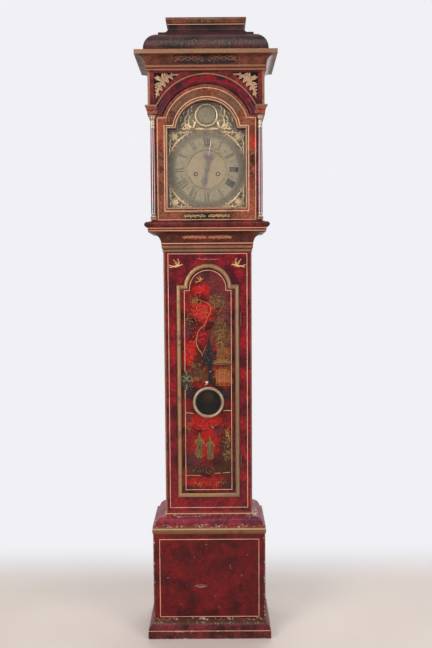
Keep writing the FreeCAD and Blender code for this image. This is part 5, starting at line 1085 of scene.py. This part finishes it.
# A cartouche: a lobed patch with its outline and a mirrored spray of curls and leaves inside.
def cartouche(half, high, seed, lobes=40, rows=16, curls=9):
    angle = np.linspace(0, 2 * pi, lobes, endpoint=False)
    across, up = np.cos(angle), np.sin(angle)
    edge = np.stack([half * np.sign(across) * np.abs(across) ** 0.45 * (1 - 0.05 * np.cos(4 * angle)),
                     high * np.sign(up) * np.abs(up) ** 0.6 * (1 + 0.10 * np.cos(6 * angle)),
                     np.full(lobes, 1.3)], 1)
    along = np.linspace(-0.97, 0.97, rows)
    patch = np.stack([half * along, np.zeros(rows), high * (1 - np.abs(along) ** 5) ** 0.5], 1)
    dice = np.random.default_rng(seed)
    sprays = []
    for number in range(curls):
        x = half * (0.06 + 0.098 * number)
        side = number % 2 * 2 - 1
        rise = side * high * 0.15
        sprays.append(frond(x, rise, 90 - 40 * side, high * 1.3, 1.3, side * 210, True))
        sprays.append(frond(x, -rise, 60 + 60 * dice.random(), high * 0.8, 1.5, 60 * (dice.random() - 0.5)))
        sprays.append(frond(x, rise * 2, 200 * dice.random(), high * 0.6, 1.0, 90 * (dice.random() - 0.5)))
    return (smooth(edge, 2, True), True), (patch, False), mirrored(sprays)


onHoodDoor = onFront("hood_door_frame")
profiles = {  # the front that reaches are measured from, low and high end, radius and side
    "cove": (-101.5, (7, 2236), (38, 2264), 29.96, -1),
    "throat": (-52.5, (7, 1566), (53.5, 1606.4), 46.5, -1),
    "bell": (-25.5, (90, 2280), (37, 2360), 72, 1)}
coveLay, coveArc = curveAt(*profiles["cove"])
throatLay, throatArc = curveAt(*profiles["throat"])
bellLay, bellArc = curveAt(*profiles["bell"])
cartouches = {
    "cornice": {"half": 127, "high": 26.0, "up": coveArc * 0.47, "lay": coveLay, "body": "hood",
                "ground": "deepBrown", "spray": "dimGold"},
    "throat": {"half": 102, "high": 12.5, "up": throatArc * 0.36, "lay": throatLay, "body": "case",
               "ground": "crimson", "spray": "paleGold"},
    "doorRail": {"half": 93, "high": 11, "up": 1667.5, "lay": onHoodDoor, "body": "hood_door",
                 "ground": "dark", "spray": "paleGold"},
}
for number, (name, panel) in enumerate(cartouches.items()):
    edge, patch, sprays = cartouche(panel["half"], panel["high"], number + 50)
    proud = raised(panel["lay"], 0.15)
    ribs(name + "Patch", moved([patch], 0, panel["up"]), panel["lay"], paints[panel["ground"]], panel["body"],
         height=0.1, across=11)
    ribs(name + "Edge", moved([edge], 0, panel["up"]), proud, paints["dark"], panel["body"], height=0.2)
    ribs(name + "Sprays", moved(sprays, 0, panel["up"]), proud, paints[panel["spray"]], panel["body"])
redSpots = [stroke([(side * x, 0, 3), (side * (x + 9), 1, 7), (side * (x + 20), 0, 4)]) for side in (-1, 1)
            for x in (34, 96)]
ribs("corniceSpots", moved(redSpots, 0, cartouches["cornice"]["up"]), raised(coveLay, 0.08),
     paints["crimson"], "hood", height=0.1, across=7)
railSpot = drawn([(24, 0, 3), (40, 1, 8), (60, 0, 4)])
ribs("doorRailSpots", moved(railSpot, 0, cartouches["doorRail"]["up"]), raised(onHoodDoor, 0.08),
     paints["orange"], "hood_door", height=0.1, across=7)

# Two cartouches bent round the arch of the hood door.
archBand = {"radius": 145.5, "half": 52, "high": 12.0, "turn": 38}
archPatches, archSprays = [], []
for side in (-1, 1):
    edge, patch, sprays = cartouche(archBand["half"], archBand["high"], 60 + side)
    offset = side * radians(archBand["turn"]) * archBand["radius"]
    archPatches += roundArc(moved([patch], offset), archCentre, archBand["radius"])
    archSprays += roundArc(moved([edge] + sprays, offset), archCentre, archBand["radius"])
ribs("archPatches", archPatches, onHoodDoor, paints["umber"], "hood_door", height=0.1, across=7)
ribs("archSprays", archSprays, raised(onHoodDoor, 0.15), paints["moss"], "hood_door")

# Gilt foliage on the caddy, dim on its bell and olive on the band round its block.
ribs("caddyGold", mirrored(leafage((104, bellArc * 0.36, 56, 20, 46, 9, 1.0, 71),
                                   (34, bellArc * 0.40, 34, 18, 30, 9, 0.9, 72),
                                   (176, bellArc * 0.28, 24, 20, 20, 9, 0.9, 73))),
     bellLay, paints["umber"], "hood", height=0.25)
ribs("caddyLights", mirrored(foliage(96, bellArc * 0.36, 80, 18, 34, 6, 0.8, 76)), raised(bellLay, 0.1),
     paints["dimGold"], "hood", height=0.25)
caddyBand = {"front": -33.1, "up": 2418.5}
bandLeaves = mirrored(foliage(70, 0, 64, 3.2, 26, 8, 0.9, 74)) + foliage(0, 0, 10, 3, 5, 8, 0.9, 75)
ribs("caddyBandGold", moved(bandLeaves, 0, caddyBand["up"]), flatAt(caddyBand["front"]), paints["olive"],
     "hood", height=0.25)

# Scrollwork that leaves a dark keyhole in the lock's plate.
lockCurls = ((20, 34, 200), (70, 22, -160), (150, 34, -220))
lockScrolls = [frond(0, 6, side * heading, length, 2.0, side * bend, True)
               for side in (-1, 1) for heading, length, bend in lockCurls]
lockScrolls += fronds((0, 20, 0, 20, 3.0), (0, -14, 180, 26, 3.0), (-6, 0, -90, 10, 2.4),
                      (6, 0, 90, 10, 2.4))
lockPlace = (-86.5, 1023)
ribs("lockScrolls", moved(lockScrolls, *lockPlace), onFront("door_lock"),
     metal("lockScrollBrass", (150, 144, 116), (96, 92, 74), 0.36, 0.5, 0.4, 0.006), "trunk_door", height=0.5)
print("cartouches made")

# Carved and pierced spandrels: leaves that spring from a scroll, over the board's painted black shade.
fretCarving = {
    "depth": 3.0,
    "scroll": [(-108, 2199, 1.8), (-124, 2197, 4.4), (-144, 2189, 6.4), (-162, 2174, 8.6), (-176, 2155, 7.2),
               (-184, 2134, 5.2), (-190, 2110, 1.8)],
    "leaves": [(-130, 2193, 14, 12, 4.6, -30), (-146, 2186, -4, 17, 5.4, -40), (-156, 2180, -34, 25, 6.6, 24),
               (-163, 2174, -62, 31, 6.8, 30), (-170, 2164, -88, 24, 6.0, -24),
               (-177, 2152, -104, 17, 5.0, 24), (-184, 2138, -84, 11, 4.2, 30), (-188, 2124, -60, 8, 3.0, 10),
               (-138, 2190, 108, 17, 5.2, 44), (-152, 2182, 134, 18, 6.4, 34), (-163, 2170, 150, 20, 6.6, 10),
               (-174, 2156, 168, 20, 6.0, -24), (-183, 2136, 178, 19, 4.6, -34),
               (-118, 2197, 92, 15, 4.0, -30), (-146, 2194, -78, 16, 4.2, 60),
               (-182, 2176, -14, 19, 4.8, -70), (-160, 2196, 96, 11, 2.8, 30),
               (-190, 2166, 180, 11, 2.6, 20)],
}
fretLeaves = [frond(x, z, heading, length * 1.08, width * 1.3, bend)
              for x, z, heading, length, width, bend in fretCarving["leaves"]]
ribs("carvedFrets", mirrored([stroke(fretCarving["scroll"], 6)] + fretLeaves), onFront("hood_front_board"),
     finish["spandrel_frets"], "hood", height=fretCarving["depth"], across=7,
     replaces=("spandrel_frets",))
# Painted shade: dark brown lines along the middles of the carved leaves, for their cut veins.
fretVeins = [frond(x, z, heading, length * 0.85, 1.3, bend)
             for x, z, heading, length, _, bend in fretCarving["leaves"]]
ribs("fretVeins", mirrored(fretVeins), onFront("hood_front_board", fretCarving["depth"] * 0.9),
     paints["deepBrown"], "hood", height=0.35)

# The weight lines: two closed tubes a side, each spanning the height of the CAD line that it replaces.
tube = {"around": 12, "levels": 9}
tubeQuads = gridFaces(tube["levels"], tube["around"], False, True)[:, ::-1]
endRing = np.arange(tube["around"])
lastRing = tube["around"] * (tube["levels"] - 1)
for train in ("going", "strike"):
    low, high = (np.array(corner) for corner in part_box(train + "_line"))
    radius = (high[1] - low[1]) / 2
    angle = np.linspace(0, 2 * pi, tube["around"], endpoint=False)
    ring = np.stack([np.cos(angle), np.sin(angle), np.zeros(tube["around"])], 1) * radius
    levels = np.linspace(low[2], high[2], tube["levels"])[:, None, None] * np.array([0, 0, 1])
    tubes, tubeFaces = [], []
    for number, x in enumerate((low[0] + radius, high[0] - radius)):
        start = number * tube["around"] * tube["levels"]
        tubes.append(ring + np.array([x, low[1] + radius, 0]) + levels)
        tubeFaces += (tubeQuads + start).tolist()
        tubeFaces += [(endRing[::-1] + start).tolist(), (endRing + start + lastRing).tolist()]
    lineObject = addMesh(train + "Line", np.array(tubes), tubeFaces, gut)
    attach(lineObject, "case")
    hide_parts(train + "_line")
    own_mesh(lineObject)
print("weight lines made")


# Dial work

dial = {"arch": 2055.5, "numeralLow": 88, "numeralHigh": 121, "serif": 0.5, "gap": 0.9}
onRing = onFront("chapter_ring")
letters = {"I": (5.6, [(0, 0, 2.3)]), "V": (13.0, [(-4.6, 0, 2.3), (4.6, 0, 0.9)]),
           "X": (13.0, [(-4.4, 4.4, 2.3), (4.4, -4.4, 0.9)])}
hours = ["I", "II", "III", "IIII", "V", "VI", "VII", "VIII", "IX", "X", "XI", "XII"]


# A straight bar of one width, with a point halfway.
def bar(x, z, endX, endZ, half):
    return np.array([(x, z, half), ((x + endX) / 2, (z + endZ) / 2, half), (endX, endZ, half)]), False


# A roman numeral in its own frame, feet at 0: straight bars from foot to top, with thin serifs.
def numeral(word, high, bold):
    left = -(sum(letters[letter][0] for letter in word) + dial["gap"] * (len(word) - 1)) / 2
    made = []
    for letter in word:
        wide, bars = letters[letter]
        middle = left + wide / 2
        made += [bar(middle + foot, 0, middle + top, high, half * bold) for top, foot, half in bars]
        serif = dial["serif"]
        for level in (high - serif,) if letter == "V" else (serif, high - serif):
            made.append(bar(left, level, left + wide, level, serif))
        left += wide + dial["gap"]
    return made


# Stands strokes on a radius of the dial, at an angle clockwise from the top.
def onRadius(strokes, radius, angle):
    return moved(moved(strokes, 0, radius), 0, dialCentre, 1.0, angle)


strong, worn = [], []
for number, word in enumerate(hours, 1):
    bold = {3: 1.5, 4: 1.5, 12: 1.15}.get(number, 0.9)
    strokes = numeral(word, dial["numeralHigh"] - dial["numeralLow"], bold)
    (strong if bold > 1 else worn).extend(onRadius(strokes, dial["numeralLow"], number * 30))
ribs("strongNumerals", strong, onRing, paints["numeral"], "case", height=0.12, sunk=0.05)
ribs("wornNumerals", worn, onRing, paints["wornNumeral"], "case", height=0.12, sunk=0.05)


# A closed ring: the centre plus the radius times the cosine across and the sine up.
def circle(radius, width, centre=dialCentre, x=0.0, points=120):
    angle = np.linspace(0, 2 * pi, points, endpoint=False)
    rows = [x + radius * np.cos(angle), centre + radius * np.sin(angle), np.full(points, width)]
    return np.stack(rows, 1), True


# Equal steps round the dial, each a bar on its radius.
def ticks(count, low, high, width):
    return [part for number in range(count)
            for part in onRadius([bar(0, low, 0, high, width)], 0, 360 * number / count)]


lozenge = [(np.array([(0, -4, 0.1), (0, 0, 2.0), (0, 4, 0.1)]), False),
           (np.array([(0, -9, 0.3), (0, 0, 0.4), (0, 9, 0.3)]), False)]
trackSizes = {"quarterLow": 80.2, "quarterHigh": 86.0, "minuteLow": 122.5, "minuteHigh": 127, "rim": 139}
lozengeRadius = 101
tracks = [circle(radius, 0.4) for radius in trackSizes.values()]
tracks += ticks(48, trackSizes["quarterLow"], trackSizes["quarterHigh"], 0.4)
tracks += ticks(60, trackSizes["minuteLow"], trackSizes["minuteHigh"], 0.45)
for number in range(12):
    tracks += onRadius(lozenge, lozengeRadius, 15 + 30 * number)
ribs("dialTracks", tracks, onRing, paints["wornNumeral"], "case", height=0.1, sunk=0.05)

# Minute figures outside the track, each stood on its radius.
figureSizes = {"radius": 132.5, "size": 9.5, "depth": 0.04}
figurePoints, figureFaces, start = [], [], 0
for number in range(5, 61, 5):
    words = bpy.data.curves.new("minutes", "FONT")
    words.body = str(number)
    words.size = figureSizes["size"]
    words.extrude = figureSizes["depth"]
    words.align_x, words.align_y = "CENTER", "CENTER"
    wordObject = bpy.data.objects.new("minutes", words)
    flat = bpy.data.meshes.new_from_object(wordObject)
    at = np.empty(len(flat.vertices) * 3)
    flat.vertices.foreach_get("co", at)
    at = at.reshape(-1, 3)
    turn = radians(6 * number)
    up = figureSizes["radius"] + at[:, 1]
    figurePoints.append(onRing(up * np.sin(turn) + at[:, 0] * np.cos(turn),
                               dialCentre + up * np.cos(turn) - at[:, 0] * np.sin(turn), at[:, 2]))
    figureFaces += [[vertex + start for vertex in face.vertices] for face in flat.polygons]
    start += len(at)
    bpy.data.objects.remove(wordObject)
    bpy.data.meshes.remove(flat)
figureObject = addMesh("minuteFigures", np.concatenate(figurePoints) * mm, figureFaces, paints["wornNumeral"],
                       smoothed=False)
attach(figureObject, "case")

# Matted centre, ring reliefs round the winding holes painted dark as the holes' shade, and the boss.
bossBrass = metal("bossBrass", (118, 102, 74), (90, 78, 58), 0.4, 0.5, 0.3)
turnedBrass = metal("turnedBrass", (190, 168, 126), (130, 112, 80), 0.24, 0.4, 0.85)
dialRings = {  # each circle: radius, half width, height of its centre, its place across and its points
    "mattedCentre": {
        "circles": [(39.5, 36.5, dialCentre, 0, 72)], "proud": 0.0, "height": 0.5, "across": 13,
        "material": metal("mattedCentre", (132, 114, 88), (108, 94, 74), 0.5, 0.5, 0.15, 0.04)},
    # Raised rings painted dark as the shade inside the winding holes.
    "windingRims": {
        "circles": [(6.4, 2.6, 1831.0, side * 43.0, 36) for side in (-1, 1)], "proud": 0.4, "height": 0.5,
        "material": paints["dark"]},
    "centreRings": {
        "circles": [(76.2, 0.8, dialCentre, 0, 120), (73.0, 0.3, dialCentre, 0, 120),
                    (22, 0.4, dialCentre, 0, 48), (17, 0.4, dialCentre, 0, 48)],
        "proud": 0.4, "height": 0.6, "material": turnedBrass},
    "bossRings": {
        "circles": [(*ring, dial["arch"], 0, 64) for ring in ((41.6, 4.2), (34, 0.7), (12, 0.7))],
        "proud": 2.2, "height": 2.6, "across": 9, "material": turnedBrass},
    "bossDisc": {
        "circles": [(18, 17.6, dial["arch"], 0, 64)], "proud": 3.2, "height": 1.0, "across": 9, "sunk": 1.0,
        "material": bossBrass},
}
for name, work in dialRings.items():
    ribs(name, [circle(*row) for row in work["circles"]], onFront("dial_plate", work["proud"]),
         work["material"], "case", height=work["height"], across=work.get("across", 5),
         sunk=work.get("sunk", 0.15))

rosette = [frond(0, 17, 60, 22, 1.2, -200, True), frond(0, 0, 0, 11, 2.4)]
rosette = [part for number in range(8) for part in moved(rosette, turn=45 * number)]
ribs("bossRosette", moved(rosette, 0, dial["arch"]), onFront("dial_plate", 4.0), bossBrass, "case",
     height=0.6)

# Cast scrollwork on the four corners and the arch.
castArc = [(156 * np.sin(radians(angle)), 156 * np.cos(radians(angle)), half)
           for angle, half in ((24, 0.8), (30, 2.6), (38, 3.6), (45, 4.2), (52, 3.6), (60, 2.6), (66, 0.8))]
cornerScrolls = [stroke(castArc, 4), frond(112, 112, 45, 40, 7.0)]
halfScrolls = fronds((82, 138, 62, 52, 3.2, 150, True), (116, 124, 20, 26, 3.4, 50),
                     (64, 143, 82, 24, 2.8, 16), (96, 132, 40, 22, 2.8, -60), (126, 132, 0, 20, 2.6, 60),
                     (104, 140, 95, 22, 2.2, -20), (66, 140, -70, 16, 1.6, 40),
                     (140, 142, -80, 20, 1.8, -30), (90, 124, 150, 10, 2.4, 0), (104, 114, 150, 10, 2.4, 0),
                     (72, 134, 160, 9, 1.8, 0), (120, 108, 60, 24, 2.8, -40))
cornerScrolls += halfScrolls + [(line[:, [1, 0, 2]], closed) for line, closed in halfScrolls]
corners = mirrored(cornerScrolls)
corners = corners + [(line * (1, -1, 1), closed) for line, closed in corners]
ribs("cornerCastings", moved(corners, 0, dialCentre), onFront("dial_plate", 2.0), castGilt, "case",
     height=1.8)
archScrolls = fronds((-60, 2004, -30, 70, 4.0, 130, True), (-66, 2000, -60, 52, 3.4, 160, True),
                     (-52, 2006, 30, 44, 3.4, -150, True), (-92, 1998, 10, 40, 3.0, 110, True),
                     (-84, 2032, 0, 34, 3.4, 60), (-70, 2056, -20, 30, 3.2, 70), (-60, 2076, 0, 26, 2.8, 60),
                     (-98, 2010, 20, 26, 2.6, 40), (-44, 2094, 20, 24, 2.6, 60),
                     (-46, 2002, 80, 40, 4.4, 20), (-76, 2018, -50, 20, 2.6, 80),
                     (-62, 2048, -70, 18, 2.4, 90), (-54, 2068, -60, 18, 2.4, 90),
                     (-56, 2010, -80, 34, 7.0, 30), (-50, 2014, 40, 24, 5.0, -40),
                     (-72, 2004, -100, 30, 4.0, 30), (-100, 2030, -10, 30, 2.4, 40),
                     (-90, 2056, 10, 28, 2.6, 30), (-78, 2078, 30, 26, 2.4, 30),
                     (-62, 2094, 40, 24, 2.4, 20), (-34, 2108, 70, 22, 2.0, 20), (-30, 2000, 86, 30, 2.6, 8))
ribs("archCastings", mirrored(archScrolls), onFront("dial_plate", 2.0), castGilt, "case", height=1.9)
print("dial work made")
